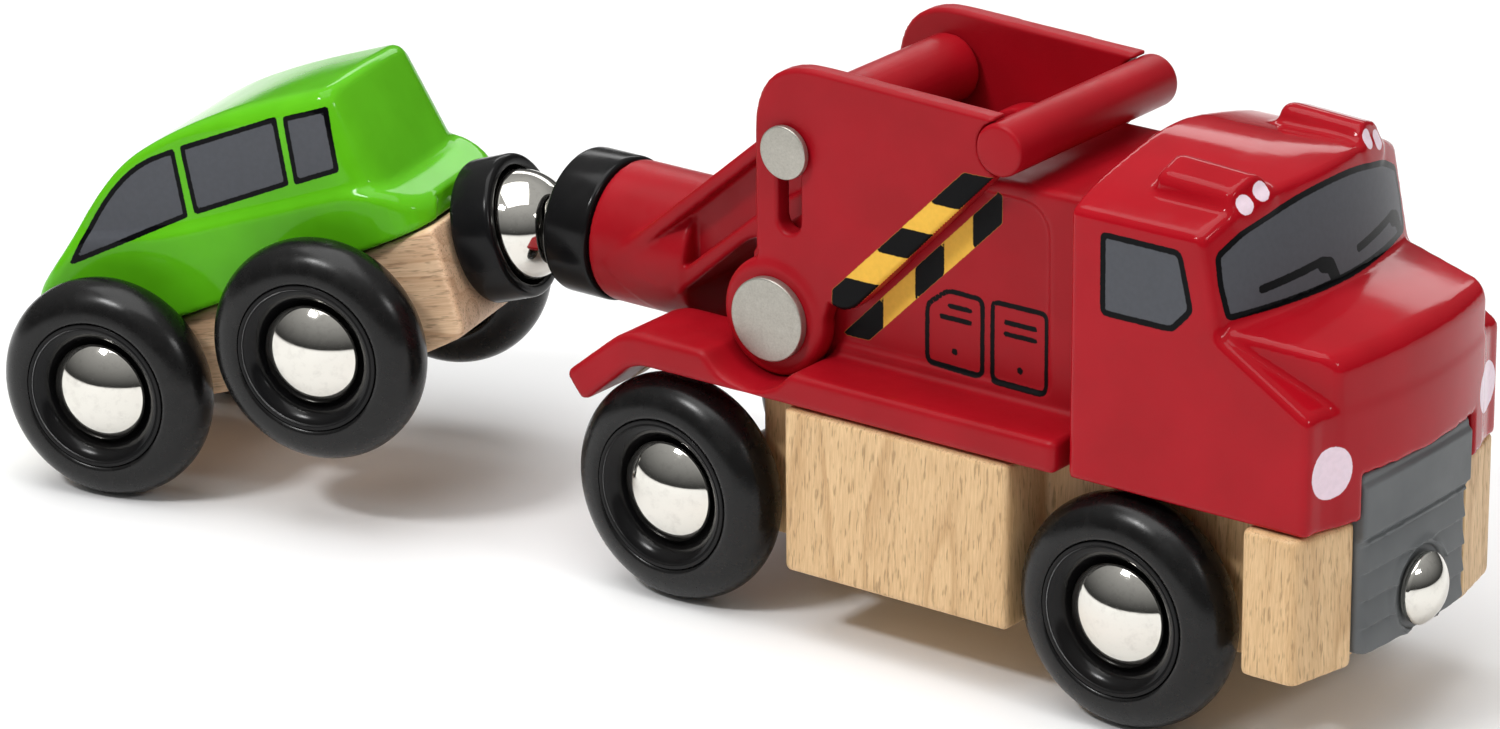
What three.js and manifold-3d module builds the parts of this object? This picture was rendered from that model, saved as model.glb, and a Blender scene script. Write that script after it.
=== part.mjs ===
// Wooden-road tow truck with a small car hanging on its boom.
// Truck frame: X forward with x = 0 at the rear axle, Y to the truck's left, Z up, z = 0 on the road.
// Car frame: x = 0 and z = 0 at the car's front axle, X towards its tail.  All sizes in millimetres.
import * as THREE from 'three';
import { mergeVertices } from 'three/addons/utils/BufferGeometryUtils.js';
import Module from 'manifold-3d';

const wasm = await Module();
wasm.setup();

// ---------------------------------------------------------------- driving sizes

const GAP = 0.3; // air left between fixed pieces that touch
const RUN = 0.35; // running clearance round a moving piece
const THROUGH = 60; // longer than any piece is wide, for cutters that go right through

// Wheels, the same eight times
const TYRE_RADIUS = 13;
const TYRE_BORE = 8.7;
const TYRE_HALF_WIDTH = 3.8;
const TRACK_HALF = 16.6; // middle of the tyre from the middle of the vehicle
const AXLE_RADIUS = 1.5;
const CAP_RADIUS = 5.8;
const CAP_DOME = 2.3; // how far the dome stands out from its rim
const CAP_RIM_OUT = 2.35; // rim plane outside the middle of the tyre
const CAP_SOCKET = 1.4; // depth of the axle end inside the cap

// Truck block
const WHEELBASE = 59.5;
const HALF_WIDTH = 19.6; // widest wood and plastic
const SPINE_HALF = 12; // wood between the wheels
const ROAD_CLEARANCE = 7.9;
const DECK_Z = 26.8; // top of the wood
const BLOCK_REAR = -11;
const MID_REAR = 16.3;
const MID_FRONT = 45.8;
const NOSE_REAR = 75;
const NOSE_CORNER = 81.7;
const NOSE_FRONT = 83.6;
const NOSE_LIFT = 2.4; // underside of the nose above the rest of the block

// Front grille panel and its coupling dome
const GRILLE_HALF = 10.6;
const GRILLE_LOW = 11.6;
const GRILLE_HIGH = 31.9;
const GRILLE_FRONT = 84.3;
const GRILLE_CROWN = 0.8; // middle further forward than the sides
const GRILLE_THICK = 2.2;
const FRONT_DOME_RADIUS = 3.95;
const FRONT_DOME_Z = 16.2;

// Cab
const CAB_REAR = 52.9;
const CAB_FRONT = 82.6;
const CAB_HALF = 19;
const CAB_WALL = 2.2;
const CAB_EAVE_Z = 56;
const CAB_CROWN_Z = 61.3;
const HOOD_HALF = 14.6;
const HOOD_Z = 48.4;
const HOOD_EDGE_Z = 46; // hood height along its sides
const POD_Y = 11.7;
const POD_Z = 59.3;
const POD_FRONT = 70;
const POD_LENGTH = 11.5;

// Rear body: flat bed, slanted tail slab and winch box
const BED_HEIGHT = 3.7;
const BED_FRONT = 51.7;
const TAIL_KINK = -5.6;
const TAIL_LENGTH = 10.6;
const TAIL_SLOPE = 39 * Math.PI / 180;
const TAIL_THICK = 3.9;
const TAIL_UNDER = 1.2; // underside kink forward of the top kink
const BOX_HALF = 11.5;
const BOX_WALL = 3;
const BOX_TOP = 55.3;
const BOX_REAR = 6.2;
const BOX_FRONT = 52.5;
const BOX_ROOF_REAR = 26;

// Lift frame: two slotted side plates and the handle bar
const PIVOT_X = 11.3;
const PIVOT_Z = 34.6;
const PIVOT_SHANK = 2.2;
const PIVOT_HEAD = 4.75;
const PLATE_OUT = 14.4; // outer face from the middle
const PLATE_THICK = 2.5;
const PLATE_REAR = 8.8;
const PLATE_TOP = 63.7;
const LOBE_RADIUS = 6.6;
const HANDLE_X = 41.1;
const HANDLE_Z = 59.6;
const HANDLE_RADIUS = 2.93;

// Boom: level barrel, rising arm and the pin that rides in the slots
const LIFT_PIN_X = 13.4;
const LIFT_PIN_Z = 54;
const LIFT_PIN_RADIUS = 1.2;
const LIFT_PIN_HEAD = 3;
const SLOT_DROP = 7.9; // length of the slot below the pin
const BOOM_PIVOT_X = 34;
const BOOM_PIVOT_Z = 38;
const BOOM_PIVOT_RADIUS = 1.5;
const BOOM_HALF = 8;
const HUB_X = 16.4; // round cross hub on top of the arm
const HUB_Z = 57.2;
const HUB_RADIUS = 3.9;
const BARREL_RADIUS = 8.1;
const BARREL_Z = 34.1;
const BOOM_END = -25.9;
const BARREL_FRONT = -6;
const CAP_RING_LENGTH = 6.2;
const CAP_RING_RADIUS = 8.35;
const MAGNET_RADIUS = 6.6;
const MAGNET_THICK = 4.2;
const BOOM_SWING = 13 * Math.PI / 180; // furthest that the boom lowers

// Towed car
const CAR_WHEELBASE = 28.7;
const CAR_YAW = 13.7 * Math.PI / 180;
const CAR_HALF = 11.8;
const CAR_TAIL = 43.6;
const CAR_WALL = 1.9;
const CAR_BLOCK_HALF = 10.5;
const CAR_BLOCK_FRONT = -12;
const CAR_BLOCK_REAR = 43.6;
const BALL_RADIUS = 6.5;
const BALL_X = 48.6;
const BALL_Z = 5.9;
const RING_RADIUS = 8.3;
const RING_LENGTH = 5.2;
const HITCH_SIDE = -4.1; // ball centre to the truck's right of the boom
const HITCH_DROP = 1.05; // and below the middle of the barrel

// ---------------------------------------------------------------- solids

/** Turn a three.js geometry into a closed solid with its faces pointing out. */
function solid(source) {
  const bare = source.clone();
  bare.deleteAttribute('normal');
  bare.deleteAttribute('uv');
  const merged = mergeVertices(bare, 1e-4);
  const xyz = merged.attributes.position.array;
  const corners = [];
  let volume = 0;
  const [a, b, c] = [new THREE.Vector3(), new THREE.Vector3(), new THREE.Vector3()];
  for (let i = 0; i < merged.index.count; i += 3) {
    const [p, q, r] = [0, 1, 2].map((k) => merged.index.getX(i + k));
    if (p === q || q === r || r === p) continue;
    corners.push([p, q, r]);
    a.fromArray(xyz, 3 * p);
    b.fromArray(xyz, 3 * q);
    c.fromArray(xyz, 3 * r);
    volume += a.dot(b.cross(c));
  }
  const facing = volume > 0 ? corners : corners.map(([p, q, r]) => [p, r, q]);
  const triVerts = new Uint32Array(facing.flat());
  return new wasm.Manifold(new wasm.Mesh({ numProp: 3, vertProperties: new Float32Array(xyz), triVerts }));
}

/** Outline with straight sides whose corners are rounded by radius. */
function outline(points, radius = 0, steps = 3) {
  const shape = new THREE.Shape();
  const corners = points.map(([x, y]) => new THREE.Vector2(x, y));
  corners.forEach((corner, i) => {
    const before = corners.at(i - 1);
    const after = corners[(i + 1) % corners.length];
    const cut = Math.min(radius, corner.distanceTo(before) / 2, corner.distanceTo(after) / 2);
    const start = corner.clone().lerp(before, cut / corner.distanceTo(before));
    const end = corner.clone().lerp(after, cut / corner.distanceTo(after));
    if (i === 0) shape.moveTo(start.x, start.y);
    else shape.lineTo(start.x, start.y);
    if (cut > 0) shape.quadraticCurveTo(corner.x, corner.y, end.x, end.y);
  });
  shape.closePath();
  shape.userData = { steps };
  return shape;
}

/** Extrude an outline by depth along its own Z. */
function extruded(shape, depth) {
  const curveSegments = shape.userData?.steps ?? 3;
  return new THREE.ExtrudeGeometry(shape, { depth, curveSegments, bevelEnabled: false });
}

/** Outline in (x, z), from y = low to y = high. */
function alongY(shape, low, high) {
  return solid(extruded(shape, high - low).rotateX(Math.PI / 2).translate(0, high, 0));
}

/** Outline in (y, z), from x = low to x = high. */
function alongX(shape, low, high) {
  const [x, y, z] = [new THREE.Vector3(1, 0, 0), new THREE.Vector3(0, 1, 0), new THREE.Vector3(0, 0, 1)];
  const turn = new THREE.Matrix4().makeBasis(y, z, x);
  return solid(extruded(shape, high - low).applyMatrix4(turn).translate(low, 0, 0));
}

/** Outline in (x, y), from z = low to z = high. */
function alongZ(shape, low, high) {
  return solid(extruded(shape, high - low).translate(0, 0, low));
}

/** Round bar along Y. */
function rodY(radius, x, z, low, high, sides = 20) {
  const bar = new THREE.CylinderGeometry(radius, radius, high - low, sides);
  return solid(bar.translate(x, (low + high) / 2, z));
}

/** Round bar along X. */
function rodX(radius, y, z, low, high, sides = 28) {
  const bar = new THREE.CylinderGeometry(radius, radius, high - low, sides);
  return solid(bar.rotateZ(-Math.PI / 2).translate((low + high) / 2, y, z));
}

function ball(radius, x, y, z, sides = 20) {
  return solid(new THREE.SphereGeometry(radius, sides, sides / 2).translate(x, y, z));
}

function block(x0, x1, y0, y1, z0, z1) {
  const box = new THREE.BoxGeometry(x1 - x0, y1 - y0, z1 - z0);
  return solid(box.translate((x0 + x1) / 2, (y0 + y1) / 2, (z0 + z1) / 2));
}

/** Solid of revolution about Y from [radius, y] points. */
function turned(points, sides) {
  return solid(new THREE.LatheGeometry(points.map(([r, y]) => new THREE.Vector2(r, y)), sides));
}

const fuse = (...bodies) => bodies.reduce((whole, next) => whole.add(next));
const cut = (body, ...tools) => tools.reduce((rest, tool) => rest.subtract(tool), body);

/** Named mesh of one physical piece, with its own material. */
function piece(parent, name, body, look) {
  const { vertProperties, triVerts } = body.getMesh();
  const geometry = new THREE.BufferGeometry();
  geometry.setAttribute('position', new THREE.BufferAttribute(new Float32Array(vertProperties), 3));
  geometry.setIndex(new THREE.BufferAttribute(new Uint32Array(triVerts), 1));
  geometry.computeVertexNormals();
  const mesh = new THREE.Mesh(geometry, look());
  mesh.name = name;
  parent.add(mesh);
  return mesh;
}

// ---------------------------------------------------------------- materials

const look = (color, roughness, metalness) => () => new THREE.MeshStandardMaterial({ color, roughness, metalness });
const beech = look(0xdab280, 0.6, 0);
const glossRed = look(0xa8202a, 0.2, 0);
const satinRed = look(0x9c1f28, 0.45, 0);
const glossGreen = look(0x5cb82a, 0.15, 0);
const blackRubber = look(0x262424, 0.45, 0);
const blackPlastic = look(0x1c1c1e, 0.25, 0);
const greyPlastic = look(0x5b5e60, 0.5, 0);
const chrome = look(0xdcdcd8, 0.08, 1);
const steel = look(0x9a958a, 0.4, 1);

// ---------------------------------------------------------------- wheels and axles

const CAP_RIM = TRACK_HALF + CAP_RIM_OUT;
const WHEEL_IN = TRACK_HALF - TYRE_HALF_WIDTH;

/** Tyre: half an ellipse of rubber round a straight bore. */
function tyreSolid() {
  const depth = TYRE_RADIUS - TYRE_BORE;
  const profile = [];
  const STEPS = 6;
  for (let i = 0; i <= STEPS; i += 1) {
    const turn = Math.PI * i / STEPS;
    profile.push([TYRE_BORE + depth * Math.sin(turn), -TYRE_HALF_WIDTH * Math.cos(turn)]);
  }
  profile.push(profile[0]);
  return turned(profile, 24);
}

/** Hub: disc with a running bore and a dished outer face that frames the cap. */
function hubSolid() {
  const rim = TYRE_BORE - GAP;
  const bore = AXLE_RADIUS + RUN;
  const dish = CAP_RIM_OUT - 2 * GAP;
  const profile = [[bore, -TYRE_HALF_WIDTH + 0.2], [rim, -TYRE_HALF_WIDTH + 0.2], [rim, TYRE_HALF_WIDTH - 0.3],
    [rim - 0.7, TYRE_HALF_WIDTH - 0.5], [CAP_RADIUS + 0.5, dish], [CAP_RADIUS - 1, dish - 1],
    [bore, dish - 1]];
  profile.push(profile[0]);
  return turned(profile, 16);
}

/** Domed cap pressed on an axle end, its rim plane at y = 0. */
function capSolid() {
  const sphere = (CAP_RADIUS ** 2 + CAP_DOME ** 2) / (2 * CAP_DOME);
  const half = Math.asin(CAP_RADIUS / sphere);
  const lip = 0.5;
  const bore = AXLE_RADIUS + GAP;
  const profile = [[0, CAP_SOCKET - lip], [bore, CAP_SOCKET - lip], [bore, -lip], [CAP_RADIUS, -lip]];
  const STEPS = 5;
  for (let i = 0; i <= STEPS; i += 1) {
    const angle = half * (1 - i / STEPS);
    profile.push([sphere * Math.sin(angle), CAP_DOME - sphere * (1 - Math.cos(angle))]);
  }
  profile[profile.length - 1][0] = 0;
  return turned(profile, 16);
}

const tyre = tyreSolid();
const hub = hubSolid();
const cap = capSolid();

/** One axle with its two caps, and a tyre and hub each side. */
function axleSet(parent, prefix, x, z) {
  const end = CAP_RIM - 0.5 + CAP_SOCKET - GAP;
  piece(parent, `${prefix}_axle`, rodY(AXLE_RADIUS, x, z, -end, end, 12), steel);
  for (const [side, sign] of [['right', -1], ['left', 1]]) {
    const station = new THREE.Group();
    station.position.set(x, 0, z);
    station.rotation.z = sign < 0 ? Math.PI : 0;
    parent.add(station);
    piece(station, `${prefix}_${side}_tyre`, tyre, blackRubber).position.y = TRACK_HALF;
    piece(station, `${prefix}_${side}_hub`, hub, blackPlastic).position.y = TRACK_HALF;
    piece(station, `${prefix}_${side}_cap`, cap, chrome).position.y = CAP_RIM;
  }
}

// ---------------------------------------------------------------- truck block, grille and screws

const BARREL_LOW = BARREL_Z - BARREL_RADIUS;
const PLASTIC_Z = DECK_Z + GAP;

/** Room that the lowering boom sweeps through the bed and the back of the block. */
function boomSweep(half) {
  const pivot = [BOOM_PIVOT_X, BOOM_PIVOT_Z];
  const [, rearZ] = turnAbout([-12, BARREL_LOW], pivot, BOOM_SWING);
  const [frontX, frontZ] = turnAbout([BARREL_FRONT, BARREL_LOW], pivot, BOOM_SWING);
  const bedTop = PLASTIC_Z + BED_HEIGHT;
  const points = [[-30, rearZ - 1], [frontX + 0.7, frontZ - 1], [frontX + 0.7, frontZ + 5.5], [4, bedTop + 1],
    [4, bedTop + 20], [-30, bedTop + 20]];
  return alongY(outline(points), -half, half);
}

/** Point turned about a centre, counter-clockwise with x to the right and z up. */
function turnAbout([x, z], [cx, cz], angle) {
  const [c, s] = [Math.cos(angle), Math.sin(angle)];
  return [cx + c * (x - cx) - s * (z - cz), cz + s * (x - cx) + c * (z - cz)];
}

const SWEEP_HALF = CAP_RING_RADIUS + RUN;

/** Everything above the slanted tail slab's underside, with the touching gap taken off. */
function tailRoom() {
  const [c, s] = [Math.cos(TAIL_SLOPE), Math.sin(TAIL_SLOPE)];
  const start = [TAIL_KINK + TAIL_UNDER + GAP * s, PLASTIC_Z - GAP * c];
  const high = [start[0] + 5 * c, start[1] + 5 * s];
  const low = [start[0] - 30 * c, start[1] - 30 * s];
  return alongY(outline([low, high, [high[0], THROUGH], [low[0], THROUGH]]), -THROUGH, THROUGH);
}

function chassisBlock() {
  const spine = outline([[BLOCK_REAR, ROAD_CLEARANCE], [NOSE_REAR + 1, ROAD_CLEARANCE + 1],
    [NOSE_REAR + 1, DECK_Z], [BLOCK_REAR, DECK_Z]], 1.5);
  const plan = outline([[NOSE_REAR, -HALF_WIDTH], [NOSE_CORNER - 1, -HALF_WIDTH], [NOSE_CORNER, 1 - HALF_WIDTH],
    [NOSE_FRONT, -GRILLE_HALF], [NOSE_FRONT, GRILLE_HALF], [NOSE_CORNER, HALF_WIDTH - 1],
    [NOSE_CORNER - 1, HALF_WIDTH], [NOSE_REAR, HALF_WIDTH]], 0.5, 2);
  const side = outline([[NOSE_REAR, ROAD_CLEARANCE + NOSE_LIFT], [NOSE_FRONT + 1, ROAD_CLEARANCE + NOSE_LIFT + 0.6],
    [NOSE_FRONT + 1, DECK_Z], [NOSE_REAR, DECK_Z]]);
  const nose = alongZ(plan, ROAD_CLEARANCE, DECK_Z).intersect(alongY(side, -THROUGH, THROUGH));
  const middle = alongZ(outline([[MID_REAR, -HALF_WIDTH], [MID_FRONT, -HALF_WIDTH], [MID_FRONT, HALF_WIDTH],
    [MID_REAR, HALF_WIDTH]], 0.8, 2), ROAD_CLEARANCE, DECK_Z);
  const grilleSeat = block(GRILLE_FRONT - GRILLE_THICK - GAP, THROUGH * 2, -GRILLE_HALF - GAP, GRILLE_HALF + GAP,
    0, THROUGH);
  const bore = AXLE_RADIUS + GAP;
  return cut(
    fuse(alongY(spine, -SPINE_HALF, SPINE_HALF), middle, nose),
    grilleSeat,
    boomSweep(SWEEP_HALF),
    tailRoom(),
    rodY(bore, 0, TYRE_RADIUS, -THROUGH, THROUGH, 16),
    rodY(bore, WHEELBASE, TYRE_RADIUS, -THROUGH, THROUGH, 16),
    ...SCREWS.map(([x]) => screwRoom(x)),
  );
}

const SCREWS = [[28, 'body_screw'], [64.5, 'cab_screw']];
const SCREW_RADIUS = 1.4;
const SCREW_HEAD = 3;
const SCREW_BITE = 4;

/** Countersunk screw up from the underside into a boss of the plastic. */
function screwSolid(x) {
  const low = ROAD_CLEARANCE + 1.2;
  const head = rodZ(SCREW_HEAD, x, low, low + 1.6);
  const shank = rodZ(SCREW_RADIUS, x, low + 1.5, PLASTIC_Z + SCREW_BITE);
  return cut(fuse(head, shank), block(x - 0.4, x + 0.4, -2.2, 2.2, low - 1, low + 0.7));
}

function screwRoom(x) {
  const head = rodZ(SCREW_HEAD + GAP, x, 0, ROAD_CLEARANCE + 1.2 + 1.6 + GAP);
  return fuse(head, rodZ(SCREW_RADIUS + GAP, x, 0, THROUGH));
}

/** Round bar along Z on the truck's middle line. */
function rodZ(radius, x, low, high, sides = 16) {
  const bar = new THREE.CylinderGeometry(radius, radius, high - low, sides);
  return solid(bar.rotateX(Math.PI / 2).translate(x, 0, (low + high) / 2));
}

/** Hollow boss that a screw bites into, standing on the wood. */
function screwBoss(x, height) {
  return rodZ(SCREW_RADIUS + 2.2, x, PLASTIC_Z, PLASTIC_Z + height);
}

const screwHole = (x) => rodZ(SCREW_RADIUS + GAP, x, 0, PLASTIC_Z + SCREW_BITE + GAP);

/** Grille: crowned panel with a raised name-plate band, cross ribs and a round coupling seat. */
function grille() {
  const back = GRILLE_FRONT - GRILLE_THICK;
  const plan = new THREE.Shape();
  plan.moveTo(back, -GRILLE_HALF);
  plan.lineTo(GRILLE_FRONT, -GRILLE_HALF);
  plan.quadraticCurveTo(GRILLE_FRONT + 2 * GRILLE_CROWN, 0, GRILLE_FRONT, GRILLE_HALF);
  plan.lineTo(back, GRILLE_HALF);
  plan.closePath();
  plan.userData = { steps: 8 };
  const RIBS = 4;
  const pitch = 3.4;
  let panel = alongZ(plan, GRILLE_LOW, GRILLE_HIGH);
  for (let i = 0; i < RIBS; i += 1) {
    const z = GRILLE_LOW + 2.2 + i * pitch;
    const groove = block(GRILLE_FRONT + GRILLE_CROWN - 0.5, THROUGH * 2, -GRILLE_HALF, GRILLE_HALF, z, z + 0.8);
    panel = cut(panel, groove);
  }
  const seat = rodX(FRONT_DOME_RADIUS + 0.6, 0, FRONT_DOME_Z, GRILLE_FRONT + GRILLE_CROWN - 0.6, THROUGH * 2, 24);
  return cut(panel, seat, rodX(1.5 + GAP, 0, FRONT_DOME_Z, back - 1, THROUGH * 2, 16));
}

/** Front coupling: polished dome on a short stud through the grille. */
function frontDome() {
  const bulge = 1.9;
  const radius = (FRONT_DOME_RADIUS ** 2 + bulge ** 2) / (2 * bulge);
  const rim = GRILLE_FRONT + GRILLE_CROWN - 0.6 + GAP;
  const profile = [[0, -GRILLE_THICK], [1.5, -GRILLE_THICK], [1.5, 0], [FRONT_DOME_RADIUS, 0],
    [FRONT_DOME_RADIUS, 0.9]];
  const STEPS = 5;
  const half = Math.asin(FRONT_DOME_RADIUS / radius);
  for (let i = 1; i <= STEPS; i += 1) {
    const angle = half * (1 - i / STEPS);
    profile.push([radius * Math.sin(angle), 0.9 + bulge - radius * (1 - Math.cos(angle))]);
  }
  profile[profile.length - 1][0] = 0;
  const lathe = new THREE.LatheGeometry(profile.map(([r, y]) => new THREE.Vector2(r, y)), 24);
  return solid(lathe.rotateZ(-Math.PI / 2).translate(rim, 0, FRONT_DOME_Z));
}

// ---------------------------------------------------------------- cab

/** Cross-section of the cab in (y, z): upright sides, rounded eaves and a crowned roof. */
function cabSection(inset) {
  const half = CAB_HALF - inset;
  const eave = CAB_EAVE_Z - inset;
  const crown = CAB_CROWN_Z - inset;
  const low = PLASTIC_Z - (inset > 0 ? 5 : 0);
  const shape = new THREE.Shape();
  shape.moveTo(-half, low);
  shape.lineTo(half, low);
  shape.lineTo(half, eave);
  shape.quadraticCurveTo(half - 0.3, eave + 2.1, half - 4, eave + 2.8);
  shape.quadraticCurveTo(half / 3, crown, 0, crown);
  shape.quadraticCurveTo(-half / 3, crown, 4 - half, eave + 2.8);
  shape.quadraticCurveTo(0.3 - half, eave + 2.1, -half, eave);
  shape.closePath();
  shape.userData = { steps: 3 };
  return shape;
}

/** Side view of the cab with its windscreen, fender line and upright front. */
function cabSide(inset) {
  const low = PLASTIC_Z - 10;
  return outline([[CAB_REAR + inset, low], [CAB_FRONT - inset, low], [CAB_FRONT + 0.3 - inset, 34],
    [CAB_FRONT - 0.4 - inset, 39.3 - inset], [79.4 - inset / 2, 41.6 - inset], [71.2 - inset / 2, 46.8 - inset / 2],
    [68.7 - inset, 59.7 - inset], [65.5 - inset, 60.9 - inset], [60, CAB_CROWN_Z + 1 - inset],
    [CAB_REAR + inset, CAB_CROWN_Z + 1 - inset]]);
}

/** Hood: lower centre block between the fenders, its front bowed forward. */
function hood(inset) {
  const side = outline([[66, PLASTIC_Z - 10], [GRILLE_FRONT + 0.9 - inset, PLASTIC_Z - 10],
    [GRILLE_FRONT + 0.7 - inset, 39.5], [83.4 - inset, 44.2 - inset], [81.5 - inset, 46 - inset],
    [71.5, HOOD_Z - inset], [66, HOOD_Z - inset]]);
  const plan = new THREE.Shape();
  plan.moveTo(66, inset - HOOD_HALF);
  plan.lineTo(80, inset - HOOD_HALF);
  plan.lineTo(83 - inset, 2 + inset - HOOD_HALF);
  plan.quadraticCurveTo(GRILLE_FRONT + 2 - inset, 0, 83 - inset, HOOD_HALF - 2 - inset);
  plan.lineTo(80, HOOD_HALF - inset);
  plan.lineTo(66, HOOD_HALF - inset);
  plan.closePath();
  plan.userData = { steps: 8 };
  const section = new THREE.Shape();
  const half = HOOD_HALF - inset;
  section.moveTo(-half, 0);
  section.lineTo(half, 0);
  section.lineTo(half, HOOD_EDGE_Z - 1 - inset);
  section.quadraticCurveTo(half - 0.5, HOOD_EDGE_Z + 0.4 - inset, half - 4, HOOD_EDGE_Z + 0.8 - inset);
  section.quadraticCurveTo(0, HOOD_Z + 0.5 - inset, 4 - half, HOOD_EDGE_Z + 0.8 - inset);
  section.quadraticCurveTo(0.5 - half, HOOD_EDGE_Z + 0.4 - inset, -half, HOOD_EDGE_Z - 1 - inset);
  section.closePath();
  return alongZ(plan, PLASTIC_Z - 10, THROUGH * 2)
    .intersect(alongY(side, -THROUGH, THROUGH))
    .intersect(alongX(section, 0, THROUGH * 2));
}

/** Lamp pod on the roof: rounded bar, tilted to follow the roof's crown. */
function lampPod(side) {
  const [halfWide, halfTall, tilt] = [2.7, 1.8, -0.28 * side];
  const corner = ([y, z]) => [
    side * POD_Y + y * Math.cos(tilt) - z * Math.sin(tilt),
    POD_Z + y * Math.sin(tilt) + z * Math.cos(tilt),
  ];
  const section = [[-halfWide, -halfTall], [halfWide, -halfTall], [halfWide, halfTall], [-halfWide, halfTall]];
  return alongX(outline(section.map(corner), 1.6), POD_FRONT - POD_LENGTH, POD_FRONT);
}

function cabShell() {
  const bodyOf = (inset) => fuse(
    alongX(cabSection(inset), CAB_REAR + inset, CAB_FRONT + 2).intersect(alongY(cabSide(inset), -THROUGH, THROUGH)),
    hood(inset),
  );
  const above = block(0, THROUGH * 2, -THROUGH, THROUGH, PLASTIC_Z, THROUGH * 2);
  const outer = fuse(bodyOf(0).intersect(above), lampPod(1), lampPod(-1));
  const grilleSeat = block(GRILLE_FRONT - GRILLE_THICK - GAP, THROUGH * 2, -GRILLE_HALF - GAP, GRILLE_HALF + GAP,
    0, GRILLE_HIGH + GAP);
  const [screwX] = SCREWS[1];
  const boss = screwBoss(screwX, CAB_EAVE_Z - PLASTIC_Z);
  return cut(fuse(cut(outer, bodyOf(CAB_WALL)), boss), grilleSeat, screwHole(screwX));
}

// ---------------------------------------------------------------- rear body

function rearBody() {
  const bedTop = PLASTIC_Z + BED_HEIGHT;
  const [c, s] = [Math.cos(TAIL_SLOPE), Math.sin(TAIL_SLOPE)];
  const tip = [TAIL_KINK - TAIL_LENGTH * c, bedTop - TAIL_LENGTH * s];
  const bed = outline([[BED_FRONT, PLASTIC_Z], [BED_FRONT, bedTop], [TAIL_KINK, bedTop], tip,
    [tip[0] + TAIL_THICK * s, tip[1] - TAIL_THICK * c], [TAIL_KINK + TAIL_UNDER, PLASTIC_Z]]);
  const wall = outline([[BOX_REAR, PLASTIC_Z], [BOX_FRONT, PLASTIC_Z], [BOX_FRONT, BOX_TOP],
    [BOX_ROOF_REAR, BOX_TOP], [BOX_REAR, 41]], 1.2);
  const room = outline([[BOX_REAR - 20, bedTop], [BOX_FRONT - BOX_WALL, bedTop],
    [BOX_FRONT - BOX_WALL, BOX_TOP - BOX_WALL], [BOX_ROOF_REAR + 2, BOX_TOP - BOX_WALL],
    [BOX_ROOF_REAR - 1, BOX_TOP + 10], [BOX_REAR - 20, BOX_TOP + 10]]);
  const inner = BOX_HALF - BOX_WALL;
  const [screwX] = SCREWS[0];
  const shell = cut(
    fuse(alongY(bed, -HALF_WIDTH, HALF_WIDTH), alongY(wall, -BOX_HALF, BOX_HALF)),
    alongY(room, -inner, inner),
    boomSweep(SWEEP_HALF),
  );
  const lobeRoom = LOBE_RADIUS + RUN;
  const dishes = [-1, 1].map((side) => {
    const [low, high] = side < 0 ? [-THROUGH, -BOX_HALF - 0.05] : [BOX_HALF + 0.05, THROUGH];
    return rodY(lobeRoom, PIVOT_X, PIVOT_Z, low, high, 28);
  });
  const boomPivot = rodY(BOOM_PIVOT_RADIUS + GAP, BOOM_PIVOT_X, BOOM_PIVOT_Z, -BOX_HALF + 1, BOX_HALF - 1, 16);
  const lowerPins = rodY(PIVOT_SHANK + RUN, PIVOT_X, PIVOT_Z, -THROUGH, THROUGH, 20);
  return cut(fuse(cut(shell, ...dishes), screwBoss(screwX, 3.75)), boomPivot, lowerPins, screwHole(screwX));
}

// ---------------------------------------------------------------- lift frame

const PLATE_IN = PLATE_OUT - PLATE_THICK;
const SLOT_HALF = LIFT_PIN_RADIUS + RUN;

/** Side plate in (x, z): lobe round the pivot, straight back, rounded top, and a front end at the bar. */
function plateOutline() {
  const shape = new THREE.Shape();
  const reach = HANDLE_RADIUS + 0.4;
  const back = Math.asin((PLATE_REAR - PIVOT_X) / LOBE_RADIUS);
  shape.moveTo(PLATE_REAR, PIVOT_Z + LOBE_RADIUS * Math.cos(back));
  shape.lineTo(PLATE_REAR, PLATE_TOP - 9);
  shape.quadraticCurveTo(PLATE_REAR, PLATE_TOP, PLATE_REAR + 10, PLATE_TOP);
  shape.lineTo(HANDLE_X - 1, HANDLE_Z + reach);
  shape.lineTo(HANDLE_X - 1, HANDLE_Z - reach);
  shape.lineTo(PIVOT_X + LOBE_RADIUS * Math.SQRT1_2 + 3, PIVOT_Z + LOBE_RADIUS * Math.SQRT1_2 - 2.6);
  shape.lineTo(PIVOT_X + LOBE_RADIUS * Math.cos(0.1), PIVOT_Z + LOBE_RADIUS * Math.sin(0.1));
  shape.absarc(PIVOT_X, PIVOT_Z, LOBE_RADIUS, 0, Math.PI / 2 - back - 2 * Math.PI, true);
  shape.userData = { steps: 10 };
  return shape;
}

function liftPlate(side) {
  const [low, high] = side < 0 ? [-PLATE_OUT, -PLATE_IN] : [PLATE_IN, PLATE_OUT];
  const slotLow = LIFT_PIN_Z - SLOT_DROP;
  const slot = fuse(
    block(LIFT_PIN_X - SLOT_HALF, LIFT_PIN_X + SLOT_HALF, -THROUGH, THROUGH, slotLow, LIFT_PIN_Z),
    rodY(SLOT_HALF, LIFT_PIN_X, LIFT_PIN_Z, -THROUGH, THROUGH, 16),
    rodY(SLOT_HALF, LIFT_PIN_X, slotLow, -THROUGH, THROUGH, 16),
  );
  return cut(
    alongY(plateOutline(), low, high),
    slot,
    rodY(HANDLE_RADIUS + GAP, HANDLE_X, HANDLE_Z, -THROUGH, THROUGH, 24),
    rodY(PIVOT_SHANK + RUN, PIVOT_X, PIVOT_Z, -THROUGH, THROUGH, 20),
  );
}

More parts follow.
